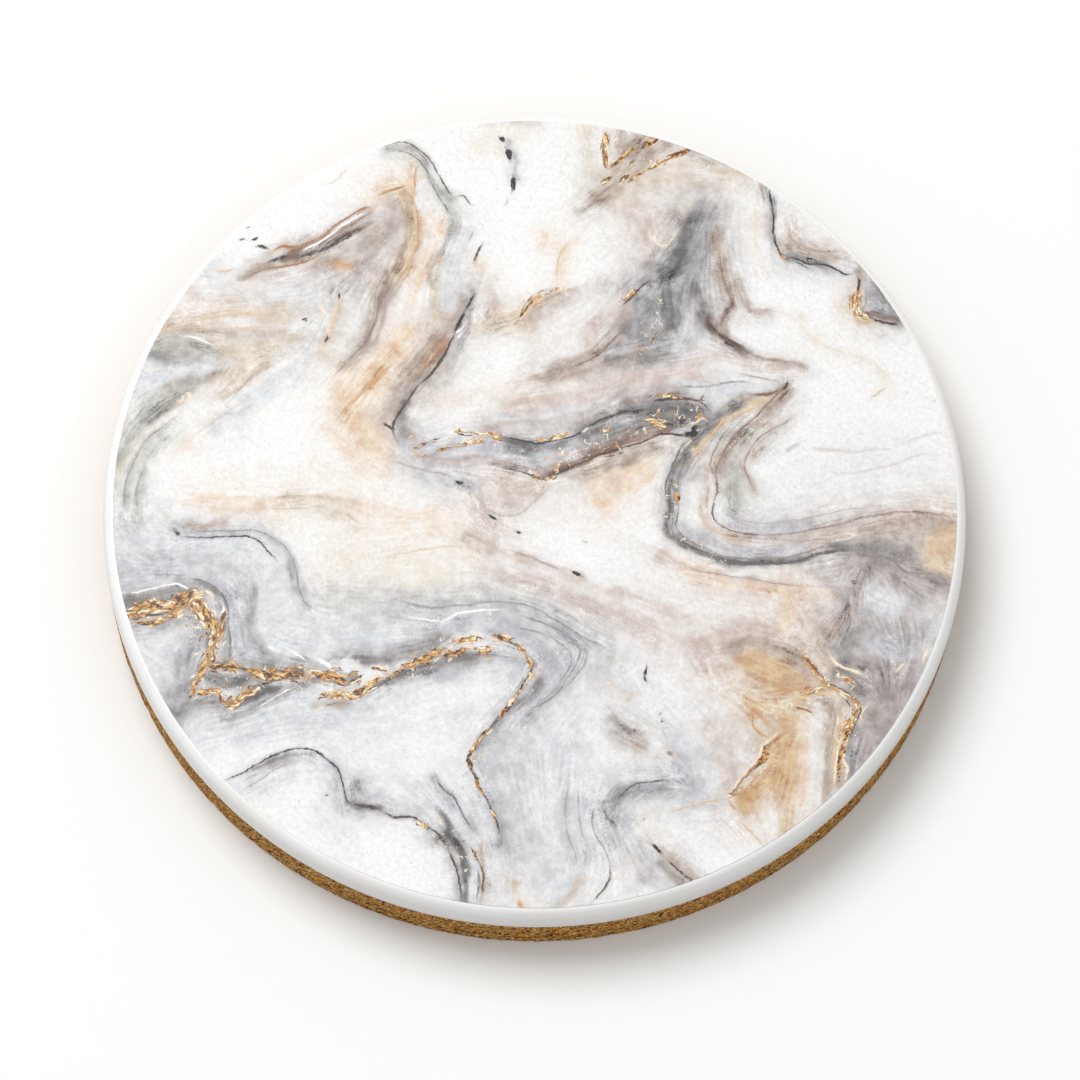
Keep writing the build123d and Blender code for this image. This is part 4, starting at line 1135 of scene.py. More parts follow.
    def grain(self, strokes: Iterable[Wash | Vein | Foil], lines: int = 90, span: float = 51.0) -> Array:
        """Direction in which the pattern flows, as the cosine and sine of twice its angle.

        Args:
            strokes: the strokes that give the direction.
            lines: lines each way of the grid that the direction is worked out on.
            span: half the side of that grid, in millimetres.

        Returns:
            Rows of two numbers.
        """
        ticks = np.linspace(-span, span, lines)
        x, y = np.meshgrid(ticks, ticks, indexing="ij")
        total = np.zeros((2, lines, lines))
        for stroke in strokes:
            line = Trail(stroke.points, 3).line()
            way, middle = np.diff(line, axis=0), (line[1:] + line[:-1]) / 2
            for (dx, dy), (px, py) in zip(way, middle, strict=True):
                apart = (x - px) ** 2 + (y - py) ** 2 + self.flow_core
                weight = np.hypot(dx, dy) / apart**self.flow_fall
                angle = 2 * math.atan2(dy, dx)
                total[0] += weight * math.cos(angle)
                total[1] += weight * math.sin(angle)
        total /= np.hypot(*total)
        place = (self.spots.T + span) / (2 * span) * (lines - 1)
        cell = np.clip(np.floor(place).astype(int), 0, lines - 2)
        (u, v), (i, j) = place - cell, cell
        low = total[:, i, j] * (1 - u) + total[:, i + 1, j] * u
        high = total[:, i, j + 1] * (1 - u) + total[:, i + 1, j + 1] * u
        return (low * (1 - v) + high * v).T

    def flecked(self, zones: Iterable[Flecks]) -> Array:
        """Share of flecks at each spot.

        Args:
            zones: where the flecks lie.

        Returns:
            A number from 0 to 1 for each spot.
        """
        share = np.zeros(len(self.spots))
        for zone in zones:
            near = Trail(zone.points).near(self.spots, zone.reach)
            found = zone.density * eased(self.fleck_plateau * (1 - np.abs(near.side) / zone.reach))
            share[near.index] = np.maximum(share[near.index], found)
        return share


# ---- Meshes


def reach(node: str) -> float:
    """Radius of a round CAD node, in millimetres, within its box on every side."""
    low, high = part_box(node)
    return min(high.x, high.y, -low.x, -low.y) / MM


def mesh_piece(name: str, corners: Array, faces: Faces, smooth: bool = True) -> Piece:
    """Make an object from corners and faces.

    Args:
        name: name of the piece.
        corners: rows of x, y and z in metres.
        faces: corner numbers of each face, anticlockwise from outside.
        smooth: whether the faces are shaded smooth.

    Returns:
        The new object, linked to the scene.
    """
    mesh = bpy.data.meshes.new(name)
    mesh.from_pydata(corners.tolist(), [], faces)
    mesh.polygons.foreach_set("use_smooth", [smooth] * len(mesh.polygons))
    mesh.update()
    piece = bpy.data.objects.new(name, mesh)
    bpy.context.scene.collection.objects.link(piece)
    LOG.info("%s: %d faces", name, len(mesh.polygons))
    return piece


def give(piece: Piece, name: str, values: Array) -> None:
    """Store numbers at a piece's corners for its material.

    Args:
        piece: the piece.
        name: name of the attribute.
        values: rows of three numbers for a vector, or four for a colour.
    """
    kind, key = ("FLOAT_VECTOR", "vector") if values.shape[1] == 3 else ("FLOAT_COLOR", "color")
    attribute = piece.data.attributes.new(name, kind, "POINT")
    attribute.data.foreach_set(key, values.astype(np.float32).ravel())


@dataclass(frozen=True)
class RoundGrid:
    """A disc of nearly equal cells, made by bending a square grid round."""

    cells: int
    radius: float

    def spots(self) -> Array:
        """Corners of the cells, as rows of x and y."""
        ticks = np.linspace(-1, 1, self.cells + 1)
        a, b = (v.ravel() for v in np.meshgrid(ticks, ticks, indexing="ij"))
        wide = np.abs(a) > np.abs(b)
        long = np.where(wide, a, b)
        short = np.where(wide, b, a)
        part = np.divide(short, long, out=np.zeros_like(long), where=long != 0) * math.pi / 4
        angle = np.where(wide, part, math.pi / 2 - part)
        return self.radius * np.column_stack([long * np.cos(angle), long * np.sin(angle)])

    def faces(self) -> Faces:
        """Corner numbers of each cell, anticlockwise from above."""
        row = self.cells + 1
        starts = [i * row + j for i in range(self.cells) for j in range(self.cells)]
        return [(s, s + row, s + row + 1, s + 1) for s in starts]

    def rim(self) -> list[int]:
        """Corner numbers round the edge, anticlockwise from above."""
        row, last = self.cells + 1, self.cells
        bottom = [i * row for i in range(last)]
        right = [last * row + j for j in range(last)]
        top = [i * row + last for i in range(last, 0, -1)]
        left = list(range(last, 0, -1))
        return bottom + right + top + left


def skirt(upper: list[int], lower: list[int]) -> Faces:
    """Wall between two closed rings of corners, both anticlockwise from above, facing outwards."""
    following = zip(upper[1:] + upper[:1], lower[1:] + lower[:1], strict=True)
    return [(a, b, d, c) for a, b, (c, d) in zip(upper, lower, following, strict=True)]


# ---- Material nodes


class Flow:
    """A number, colour or vector that flows from one material node to the next."""

    def __init__(self, graph: "Graph", socket: bpy.types.NodeSocket) -> None:
        """Hold an output of one of the material's nodes."""
        self.graph = graph
        self.socket = socket

    def math(self, operation: str, *others: "Flow | float") -> "Flow":
        """Use this number in a Math node, with the node's other numbers after it."""
        feeds = dict(enumerate((self, *others)))
        return self.graph.node("ShaderNodeMath", {"operation": operation}, feeds)

    def __add__(self, other: "Flow | float") -> "Flow":
        """Add."""
        return self.math("ADD", other)

    __radd__ = __add__

    def __sub__(self, other: "Flow | float") -> "Flow":
        """Take away."""
        return self.math("SUBTRACT", other)

    def __rsub__(self, other: float) -> "Flow":
        """Take away from a plain number."""
        return (-self) + other

    def __mul__(self, other: "Flow | float") -> "Flow":
        """Multiply."""
        return self.math("MULTIPLY", other)

    __rmul__ = __mul__

    def __truediv__(self, other: "Flow | float") -> "Flow":
        """Divide."""
        return self.math("DIVIDE", other)

    def __neg__(self) -> "Flow":
        """Change the sign."""
        return self.math("MULTIPLY", -1.0)

    def size(self) -> "Flow":
        """Leave out the sign."""
        return self.math("ABSOLUTE")

    def step(self, start: float, stop: float, low: float = 0.0, high: float = 1.0) -> "Flow":
        """Turn smoothly from a low to a high number.

        Args:
            start: where the low number ends.
            stop: where the high number starts.
            low: the low number.
            high: the high number.

        Returns:
            The eased number.
        """
        settings = {"interpolation_type": "SMOOTHSTEP"}
        feeds = {0: self, 1: start, 2: stop, 3: low, 4: high}
        return self.graph.node("ShaderNodeMapRange", settings, feeds)

    def moved(self, operation: str, *others: "Flow | Numbers") -> "Flow":
        """Use this vector in a Vector Math node, with the node's other vectors after it."""
        feeds = dict(enumerate((self, *others)))
        return self.graph.node("ShaderNodeVectorMath", {"operation": operation}, feeds)

    def scaled(self, factor: "Flow | float") -> "Flow":
        """Make this vector or colour longer or shorter."""
        return self.graph.node("ShaderNodeVectorMath", {"operation": "SCALE"}, {0: self, "Scale": factor})

    def parts(self) -> list["Flow"]:
        """Split a vector into its three numbers."""
        return self.graph.outputs("ShaderNodeSeparateXYZ", {}, {0: self}, "X", "Y", "Z")


class Graph:
    """The nodes of one material."""

    def __init__(self, name: str) -> None:
        """Start an empty material of this name."""
        self.material = bpy.data.materials.new(name)
        self.material.use_nodes = True
        self.tree = self.material.node_tree
        self.tree.nodes.clear()

    def feed(self, socket: bpy.types.NodeSocket, value: Any) -> None:
        """Link a flow to an input, or set the input to a plain value.

        Args:
            socket: the input.
            value: a flow, a number, or a tuple for a vector or colour.
        """
        if isinstance(value, Flow):
            self.tree.links.new(value.socket, socket)
        elif isinstance(value, Ink):
            socket.default_value = (*value.light, 1)
        else:
            socket.default_value = value

    def node(self, kind: str, settings: Settings, feeds: Feeds, output: int | str = 0) -> Flow:
        """Add a node.

        Args:
            kind: the node's type.
            settings: its properties.
            feeds: what goes into its inputs, by number or name.
            output: which of its outputs is wanted.

        Returns:
            That output.
        """
        node = self.tree.nodes.new(kind)
        for name, value in settings.items():
            setattr(node, name, value)
        for key, value in feeds.items():
            self.feed(node.inputs[key], value)
        return Flow(self, node.outputs[output])

    def outputs(self, kind: str, settings: Settings, feeds: Feeds, *names: str) -> list[Flow]:
        """Add a node of which several outputs are wanted.

        Args:
            kind: the node's type.
            settings: its properties.
            feeds: what goes into its inputs, by number or name.
            names: names of the outputs.

        Returns:
            Those outputs.
        """
        first = self.node(kind, settings, feeds, names[0])
        node = first.socket.node
        return [Flow(self, node.outputs[name]) for name in names]

    def place(self) -> Flow:
        """Place on the piece, in millimetres."""
        spot = self.node("ShaderNodeTexCoord", {}, {}, "Object")
        return spot.scaled(1 / MM)

    def vector(self, x: Flow | float, y: Flow | float, z: Flow | float = 0.0) -> Flow:
        """Join three numbers into a vector."""
        return self.node("ShaderNodeCombineXYZ", {}, {0: x, 1: y, 2: z})

    def noise(
        self, spot: Flow, scale: float, detail: float = 2.0, rough: float = 0.5, flat: bool = False
    ) -> Flow:
        """Smooth noise.

        Args:
            spot: where it is read.
            scale: waves for each unit of the place.
            detail: how many finer waves are added.
            rough: how strong the finer waves are.
            flat: whether the noise is the same at all heights.

        Returns:
            A number round 0.5.
        """
        settings = {"noise_dimensions": "2D" if flat else "3D"}
        feeds = {"Vector": spot, "Scale": scale, "Detail": detail, "Roughness": rough}
        return self.node("ShaderNodeTexNoise", settings, feeds)

    def cells(self, spot: Flow, scale: float, feature: str = "F1", flat: bool = True) -> list[Flow]:
        """Split space into random cells.

        Args:
            spot: where they are read.
            scale: cells for each unit of the place.
            feature: F1 for the nearest cell, or DISTANCE_TO_EDGE.
            flat: whether the cells are the same at all heights.

        Returns:
            Distance, and for F1 also the cell's random colour.
        """
        settings = {"voronoi_dimensions": "2D" if flat else "3D", "feature": feature}
        feeds = {"Vector": spot, "Scale": scale}
        names = ("Distance",) if feature == "DISTANCE_TO_EDGE" else ("Distance", "Color")
        return self.outputs("ShaderNodeTexVoronoi", settings, feeds, *names)

    def mix(self, share: Flow | float, low: Flow | Ink, high: Flow | Ink, blend: str = "MIX") -> Flow:
        """Blend a share of the high colour into the low one."""
        settings = {"data_type": "RGBA", "blend_type": blend}
        return self.node("ShaderNodeMix", settings, {0: share, 6: low, 7: high}, 2)

    def stored(self, name: str) -> list[Flow]:
        """Numbers stored at the piece's corners, as a colour, a vector and an alpha."""
        settings = {"attribute_name": name}
        return self.outputs("ShaderNodeAttribute", settings, {}, "Color", "Vector", "Alpha")

    def finish(
        self, colour: Flow | Ink, rough: Flow | float, bump: Flow | None = None, **fixed: Any
    ) -> Material:
        """End the material in one surface.

        Args:
            colour: base colour.
            rough: roughness.
            bump: relief, or none.
            fixed: other inputs of the surface, with spaces as underscores.

        Returns:
            The material.
        """
        feeds: Feeds = {"Base Color": colour, "Roughness": rough}
        feeds |= {name.replace("_", " "): value for name, value in fixed.items()}
        if bump is not None:
            feeds["Normal"] = bump
        surface = self.node("ShaderNodeBsdfPrincipled", {}, feeds)
        output = self.tree.nodes.new("ShaderNodeOutputMaterial")
        self.tree.links.new(surface.socket, output.inputs["Surface"])
        return self.material

    def bump(self, height: Flow, depth: float) -> Flow:
        """Relief from a height, where a height of 1 stands for the depth in metres."""
        return self.node("ShaderNodeBump", {}, {"Strength": 1.0, "Distance": depth, "Height": height})


@dataclass(frozen=True)
class Cloud:
    """Smooth noise that turns from a low to a high number between two stops."""

    scale: float
    detail: float
    rough: float
    stops: Numbers
    flat: bool = True

    def over(self, graph: Graph, spot: Flow) -> Flow:
        """Read the cloud at a place."""
        return graph.noise(spot, self.scale, self.detail, self.rough, self.flat).step(*self.stops)


# ---- Finishes. A field that ends in stops holds where a ramp starts and ends, then its two numbers.


@dataclass(frozen=True)
class MarblePrint:
    """Satin print of white marble with grey and tan streaks and gold-coloured veins."""

    streak_scale: float = 2.3
    streak_reach: float = 1.8
    thread_scale: float = 1.1
    thread_reach: float = 3.0
    streak_reads: int = 14
    streak_stops: Numbers = (0.42, 0.58, -0.38, 0.38)
    pale_level: float = 0.49
    pale_stops: Numbers = (0.005, 0.018, -0.8, 0)
    dark_level: float = 0.53
    dark_stops: Numbers = (0.005, 0.016, 1.0, 0)
    parted_scale: float = 0.3
    parted_stops: Numbers = (0.45, 0.55)
    near_vein_stops: Numbers = (0.8, 2.4, 1.0, 0.3)
    calm: Cloud = Cloud(0.16, 2, 0.5, (0.38, 0.6, 0.15, 1.0))
    smoke: Cloud = Cloud(0.45, 6, 0.65, (0.3, 0.7, -0.5, 0.5))
    mottle: Cloud = Cloud(1.7, 4, 0.75, (0.36, 0.64, 0.93, 1.025))
    taken_ink: Cloud = Cloud(0.7, 3, 0.6, (0.3, 0.55, 0.55, 1.15))
    jitter_scale: float = 1.9
    line_jitter: float = 0.16
    line_halo: float = 0.22
    line_halo_stops: Numbers = (0, 0.8, 1, 0)
    line_blur: float = 0.045
    faint_blur: float = 0.12
    line_core: float = 0.55
    line_end_stops: Numbers = (0.3, 0.4, 1, 0)
    bold_line: float = 0.85
    gold_jitter: float = 0.2
    gold_sway: float = 1.3
    sway_scale: float = 0.5
    splinter_pace: float = 0.6
    splinter_count: float = 2.4
    splinter_lean: float = 1.3
    splinter_edge: float = 0.05
    splinter_play: float = 0.7
    splinter_inks: tuple[tuple[Ink, float, float], ...] = (
        (GILT_DEEP, 0.1, 0.22), (GILT, 0.24, 0.4), (GILT_LIGHT, 0.46, 0.68),
    )
    gold_end_stops: Numbers = (0.6, 0.8, 1, 0)
    gold_crowd: float = 1.3
    gold_thinning: float = 0.6
    glint: Cloud = Cloud(1.0, 2.0, 0.6, (0.3, 0.7, -0.1, 0.4))
    glint_along: float = 1.4
    glint_across: float = 2.2
    bone_pull: float = 0.2
    bone_stops: Numbers = (0.78, 0.94)
    gap_stops: Numbers = (0.02, 0.16, 0.8, 0)
    shade_least: float = 0.35
    shade_play: float = 0.5
    shade_stops: Numbers = (0.1, 0.9)
    shade_end_stops: Numbers = (1.0, 1.7, 1, 0)
    shade_width_stops: Numbers = (0.18, 0.6, 0.1, 0.75)
    curl_scale: float = 1.3
    curl_stops: Numbers = (0.035, 0.1, 1, 0)
    sliver_shift: Numbers = (37.0, 11.0, 0.0)
    sliver_scale: float = 0.95
    sliver_pull: float = 0.17
    sliver_stops: Numbers = (0.67, 0.7)
    sliver_paint: Cloud = Cloud(0.8, 1.0, 0.5, (0.42, 0.5))
    zone_fade: float = 0.3
    pit_scale: float = 1.9
    pit_bend: float = 5
    pit_crowd: Cloud = Cloud(0.35, 2, 0.6, (0.35, 0.65, 0.05, 0.4))
    pit_edge: float = 0.03
    pit_play: float = 0.12
    pit_stops: Numbers = (0.05, 0.22, 1, 0)
    pit_ink: float = 0.34
    satin: Cloud = Cloud(0.8, 2, 0.5, (0.2, 0.8, 0.34, 0.44))
    stipple: float = 2.6
    stipple_depth: float = 0.000012

    def streaks(self, graph: Graph, spot: Flow, way: Flow, scale: float, reach: float) -> Flow:
        """Noise drawn out along the flow of the pattern.

        Args:
            graph: where the nodes go.
            spot: place on the face, in millimetres.
            way: direction of the flow.
            scale: scale of the noise.
            reach: how far the noise is drawn out to either side, in millimetres.

        Returns:
            A number around one half.
        """
        total: Flow | float = 0.0
        for k in range(self.streak_reads):
            offset = reach * (2 * k / (self.streak_reads - 1) - 1)
            place = way.moved("MULTIPLY_ADD", (offset, offset, 0), spot)
            total = graph.noise(place, scale, 1.0, 0.6, flat=True) + total
        return total / self.streak_reads

    def line(self, graph: Graph, colour: Flow, name: str, jitter: Flow, taken: Flow) -> Flow:
        """Draw the thin lines of one set; the fainter a line, the softer its edges.

        Args:
            graph: where the nodes go.
            colour: the colour under the lines.
            name: name of the set.
            jitter: how far the edges are pushed about.
            taken: how well the ink has taken.

        Returns:
            The colour with the lines on it.
        """
        _, where, _ = graph.stored(name)
        ink, _, strength = graph.stored(f"{name}_ink")
        side, gap, width = where.parts()
        near = gap.step(*self.line_halo_stops)
        tinted = graph.mix(near * near * strength * self.line_halo, colour, ink)
        edge = (side + jitter * self.line_jitter).size() - width
        blur = self.line_blur + (1 - strength) * self.faint_blur
        core = (self.line_core - edge / (blur * 2)).step(0, 1)
        close = (gap - width).step(*self.line_end_stops)
        cover = core * close * strength.step(0, self.bold_line) * taken
        return graph.mix(cover.math("MINIMUM", 1.0), tinted, ink)

    def gold(self, graph: Graph, colour: Flow, jitter: Flow) -> Flow:
        """Lay ribbons of gold-coloured splinters with dark gaps and pale glints.

        Args:
            graph: where the nodes go.
            colour: the colour under the ribbons.
            jitter: how far the edges are pushed about.

        Returns:
            The colour with the ribbons on it.
        """
        _, where, _ = graph.stored("foil")
        _, along, _ = graph.stored("foil_run")
        side, gap, width = where.parts()
        run, _, strength = along.parts()
        bend = graph.vector(run * self.sway_scale, side * self.sway_scale)
        sway = graph.noise(bend, 1.0, 2.0, 0.6, flat=True) - 0.5
        across = side + jitter * self.gold_jitter + sway * self.gold_sway
        lean = run * self.splinter_pace + across * self.splinter_lean
        place = graph.vector(lean, across * self.splinter_count)
        _, tone = graph.cells(place, 1.0)
        border = graph.cells(place, 1.0, "DISTANCE_TO_EDGE")[0]
        red, green, blue = tone.parts()
        share = gap / width
        close = (gap - width).step(*self.gold_end_stops)
        dense = strength * (self.gold_crowd - share * self.gold_thinning)
        kept = (red + dense - 1).step(0, self.splinter_edge) * close
        glint = self.glint.over(graph, graph.vector(run * self.glint_along, side * self.glint_across))
        level = green * self.splinter_play + glint
        splinter: Flow | Ink = GILT_DARK
        for ink, start, stop in self.splinter_inks:
            splinter = graph.mix(level.step(start, stop), splinter, ink)
        splinter = graph.mix((level + share * self.bone_pull).step(*self.bone_stops), splinter, BONE)
        splinter = graph.mix(border.step(*self.gap_stops), splinter, GILT_DARK)
        shade = (dense - self.shade_least + blue * self.shade_play - sway).step(*self.shade_stops)
        shade = shade * close * share.step(*self.shade_end_stops)
        under = graph.mix(shade * width.step(*self.shade_width_stops), colour, GILT_DARK)
        return graph.mix(kept, under, splinter)

    def slivers(self, graph: Graph, colour: Flow, spot: Flow, share: Flow) -> Flow:
        """Scatter short curled slivers of pale and gold-coloured foil.

        Args:
            graph: where the nodes go.
            colour: the colour under the slivers.
            spot: place on the face, in millimetres.
            share: how crowded the slivers are.

        Returns:
            The colour with the slivers on it.
        """
        curl = graph.noise(spot, self.curl_scale, 1.0, 0.5, flat=True)
        thin = (curl * 2 - 1).size().step(*self.curl_stops)
        moved = spot.moved("ADD", self.sliver_shift)
        broken = graph.noise(moved, self.sliver_scale, 2.0, 0.5, flat=True)
        chosen = (broken + share * self.sliver_pull).step(*self.sliver_stops)
        paint = graph.mix(self.sliver_paint.over(graph, spot), GILT, BONE)
        return graph.mix(thin * chosen * share.step(0.0, self.zone_fade), colour, paint)

    def pits(self, graph: Graph, colour: Flow, spot: Flow) -> Flow:
        """Darken a colour in sparse tiny pits.

        Args:
            graph: where the nodes go.
            colour: the colour without pits.
            spot: place on the face, in millimetres.

        Returns:
            The colour with the pits.
        """
        bent = graph.noise(spot, 0.7, 3, 0.7, flat=True) * self.pit_bend
        distance, tone = graph.cells(spot.moved("ADD", graph.vector(bent, -bent)), self.pit_scale)
        red, green, _ = tone.parts()
        chosen = (self.pit_crowd.over(graph, spot) - red).step(0, self.pit_edge)
        dot = (distance - green * self.pit_play).step(*self.pit_stops)
        return graph.mix(dot * chosen * self.pit_ink, colour, TAUPE)

    def make(self) -> Material:
        """Build the material.

        Returns:
            The material.
        """
        graph = Graph("marble_print")
        spot = graph.place()
        tint, _, _ = graph.stored("tint")
        _, grain, _ = graph.stored("grain")
        twice_x, twice_y, flecks = grain.parts()
        angle = twice_y.math("ARCTAN2", twice_x) * 0.5
        way = graph.vector(angle.math("COSINE"), angle.math("SINE"))
        streak = self.streaks(graph, spot, way, self.streak_scale, self.streak_reach)
        thread = self.streaks(graph, spot, way, self.thread_scale, self.thread_reach)
        gap_a, gap_b = (graph.stored(name)[1].parts()[1] for name in ("veins_a", "veins_b"))
        nearby = gap_a.math("MINIMUM", gap_b).step(*self.near_vein_stops)
        parted = graph.noise(spot, self.parted_scale, 2, 0.5, flat=True)
        pale = (thread - self.pale_level).size().step(*self.pale_stops) * parted.step(*self.parted_stops)
        dark = (thread - self.dark_level).size().step(*self.dark_stops)
        dark = dark * parted.step(*self.parted_stops, 1, 0)
        drawn = (streak.step(*self.streak_stops) + (pale + dark) * nearby) * self.calm.over(graph, spot)
        depth = drawn + self.smoke.over(graph, spot)
        faded = graph.mix(1.0, WHITE, tint, "SUBTRACT")
        yielding = graph.mix(1.0, faded, tint, "MULTIPLY")
        colour = graph.mix(1.0, tint, yielding.scaled(depth), "SUBTRACT")
        colour = colour.scaled(self.mottle.over(graph, spot))
        colour = self.pits(graph, colour, spot)
        jitter = graph.noise(spot, self.jitter_scale, 3, 0.6, flat=True) * 2 - 1
        taken = self.taken_ink.over(graph, spot)
        for name in ("veins_a", "veins_b"):
            colour = self.line(graph, colour, name, jitter, taken)
        colour = self.slivers(graph, colour, spot, flecks)
        colour = self.gold(graph, colour, jitter)
        grit = graph.noise(spot, self.stipple, 2, 0.5, flat=True)
        return graph.finish(colour, self.satin.over(graph, spot), graph.bump(grit, self.stipple_depth))


@dataclass(frozen=True)
class Glaze:
    """White glossy glaze over fired clay, with painted shade that greys it lower down the wall."""

    cream: Cloud = Cloud(0.12, 3, 0.5, (0.3, 0.7, 0.0, 0.25), flat=False)
    gloss: Cloud = Cloud(0.3, 2, 0.5, (0.3, 0.7, 0.18, 0.27), flat=False)
    # Painted shade: heights at which the glaze turns from white to grey down the rolled edge and the wall
    painted_shade_stops: Numbers = (7.6, 9.38, 0.28, 0.0)
    pock_scale: float = 1.1
    pock_depth: float = 0.00002

    def make(self) -> Material:
        """Build the material.

        Returns:
            The material.
        """
        graph = Graph("white_glaze")
        spot = graph.place()
        colour = graph.mix(self.cream.over(graph, spot), WHITE, CREAM)
        height = spot.parts()[2]
        # Painted shade: the glaze greys towards SMOKE lower down the wall, in place of the shading of the
        # rolled edge
        colour = graph.mix(height.step(*self.painted_shade_stops), colour, SMOKE)
        pocks = graph.noise(spot, self.pock_scale, 2)
        return graph.finish(colour, self.gloss.over(graph, spot), graph.bump(pocks, self.pock_depth))


@dataclass(frozen=True)
class Cork:
    """Pressed cork of small granules with dark specks and seams."""

    granules: float = 1.8
    squash: float = 1.6
    bend: float = 1.2
    bend_scale: float = 0.8
    dark_granule_stops: Numbers = (0.7, 0.95, 0, 0.8)
    fine_scale: float = 3.0
    fine_stops: Numbers = (0.46, 0.62, 0, 0.8)
    seam_stops: Numbers = (0.02, 0.12, 0.5, 0)
    speck: Cloud = Cloud(2.0, 2, 0.6, (0.56, 0.6, 0, 0.95), flat=False)
    granule_rise: float = 0.25
    relief: float = 0.00018
    roughness: float = 0.85
    gleam: float = 0.12

    def make(self) -> Material:
        """Build the material.

        Returns:
            The material.
        """
        graph = Graph("cork")
        spot = graph.place()
        bent = (graph.noise(spot, self.bend_scale, 2) - 0.5) * self.bend
        flat = spot.moved("MULTIPLY", (1, 1, self.squash)).moved("ADD", graph.vector(bent, bent, bent))
        _, tone = graph.cells(flat, self.granules, flat=False)
        border = graph.cells(flat, self.granules, "DISTANCE_TO_EDGE", flat=False)[0]
        red, green, _ = tone.parts()
        colour = graph.mix(red, CORK_MID, CORK_LIGHT)
        colour = graph.mix(green.step(*self.dark_granule_stops), colour, CORK_DEEP)
        fine = graph.noise(spot, self.fine_scale, 3, 0.7)
        colour = graph.mix(fine.step(*self.fine_stops), colour, CORK_DEEP)
        colour = graph.mix(border.step(*self.seam_stops), colour, CORK_DARK)
        colour = graph.mix(self.speck.over(graph, flat), colour, CORK_DARK)
        relief = graph.bump(border.step(0, self.granule_rise) + fine, self.relief)
        return graph.finish(colour, self.roughness, relief, Specular_IOR_Level=self.gleam)


@dataclass(frozen=True)
class Adhesive:
    """Cloudy, slightly yellow film of set adhesive."""

    cloud: Cloud = Cloud(0.5, 3, 0.5, (0.35, 0.65), flat=False)
    roughness: float = 0.6

    def make(self) -> Material:
        """Build the material.

        Returns:
            The material.
        """
        graph = Graph("adhesive")
        colour = graph.mix(self.cloud.over(graph, graph.place()), BONE, PEACH)
        return graph.finish(colour, self.roughness)


@dataclass(frozen=True)
class Backdrop:
    """Plain white floor."""

    lift: float = 0.03

    def make(self) -> Material:
        """Build the material.

        Returns:
            The material.
        """
        graph = Graph("backdrop")
        seen = graph.node("ShaderNodeLightPath", {}, {}, "Is Camera Ray")
        glow = graph.vector(seen * self.lift, seen * self.lift, seen * self.lift)
        fixed = {"Emission_Color": glow, "Emission_Strength": 1.0, "Specular_IOR_Level": 0.0}
        return graph.finish(PAPER, 1.0, **fixed)


# ---- Pieces


@dataclass(frozen=True)
class PrintedTop:
    """The printed face on top of the ceramic."""

    cells: int = 308
    line_taper: float = 1.6
    foil_taper: float = 0.8
    rim_room: float = 0.3
    edge_room: float = 0.45
    spare_spot: float = 0.925
    spare_size: float = 0.07
    inside: float = 1e-5

    def shape(self) -> Piece:
        """Make the thin disc with its pattern.

        Returns:
            The piece.
        """
        low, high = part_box("printed_top")
        radius = reach("printed_top")
        grid = RoundGrid(self.cells, radius * (1 - self.inside))
        spots = grid.spots()
        rim = grid.rim()
        count = len(spots)
        upper = np.column_stack([spots * MM, np.full(count, high.z)])
        lower = np.column_stack([spots[rim] * MM, np.full(len(rim), low.z)])
        under = list(range(count, count + len(rim)))
        faces = grid.faces() + skirt(rim, under) + [tuple(reversed(under))]
        piece = mesh_piece("marble_print", np.vstack([upper, lower]), faces, smooth=False)
        self.unfold(piece, radius, count)
        self.store(piece, np.vstack([spots, spots[rim]]))
        return piece

    def unfold(self, piece: Piece, radius: float, count: int) -> None:
        """Lay the face flat in its map, with the underside in a spare corner.

        Args:
            piece: the printed face.
            radius: its radius in millimetres.
            count: how many of its corners lie on the face.
        """
        layer = piece.data.uv_layers.new(name="OFBake")
        loops = np.zeros(len(piece.data.loops), int)
        piece.data.loops.foreach_get("vertex_index", loops)
        places = np.zeros(len(piece.data.vertices) * 3)
        piece.data.vertices.foreach_get("co", places)
        flat = places.reshape(-1, 3)[:, :2] / MM
        flat[count:] *= 1 + self.rim_room / radius
        spread = 0.5 + flat / (2 * (radius + self.edge_room))
        chosen = spread[loops]
        bottom = piece.data.polygons[-1]
        ends = slice(bottom.loop_start, bottom.loop_start + bottom.loop_total)
        chosen[ends] = self.spare_spot + self.spare_size * (chosen[ends] - 0.5) * 2
        layer.data.foreach_set("uv", chosen.astype(np.float32).ravel())

    def store(self, piece: Piece, spots: Array) -> None:
        """Work out the pattern and keep it at the corners of the mesh.

        Args:
            piece: the printed face.
            spots: x and y of its corners, in millimetres.
        """
        marbling = Marbling(spots)
        one = np.ones((len(spots), 1))
        give(piece, "tint", np.hstack([marbling.tint(WASHES), one]))
        grain = marbling.grain((*WASHES, *VEINS, *FOILS))
        give(piece, "grain", np.column_stack([grain, marbling.flecked(FLECKS)]))
        dots = tuple(dot.vein for dot in DOTS)
        for name, veins in (("veins_a", VEINS[0::2] + dots), ("veins_b", VEINS[1::2])):
            lines = marbling.lines(veins, self.line_taper)
            give(piece, name, np.column_stack([lines.side, lines.gap, lines.half_width]))
            give(piece, f"{name}_ink", lines.ink)
        foil = marbling.lines(FOILS, self.foil_taper)
        give(piece, "foil", np.column_stack([foil.side, foil.gap, foil.half_width]))
        give(piece, "foil_run", np.column_stack([foil.run, foil.side, foil.ink[:, 3]]))


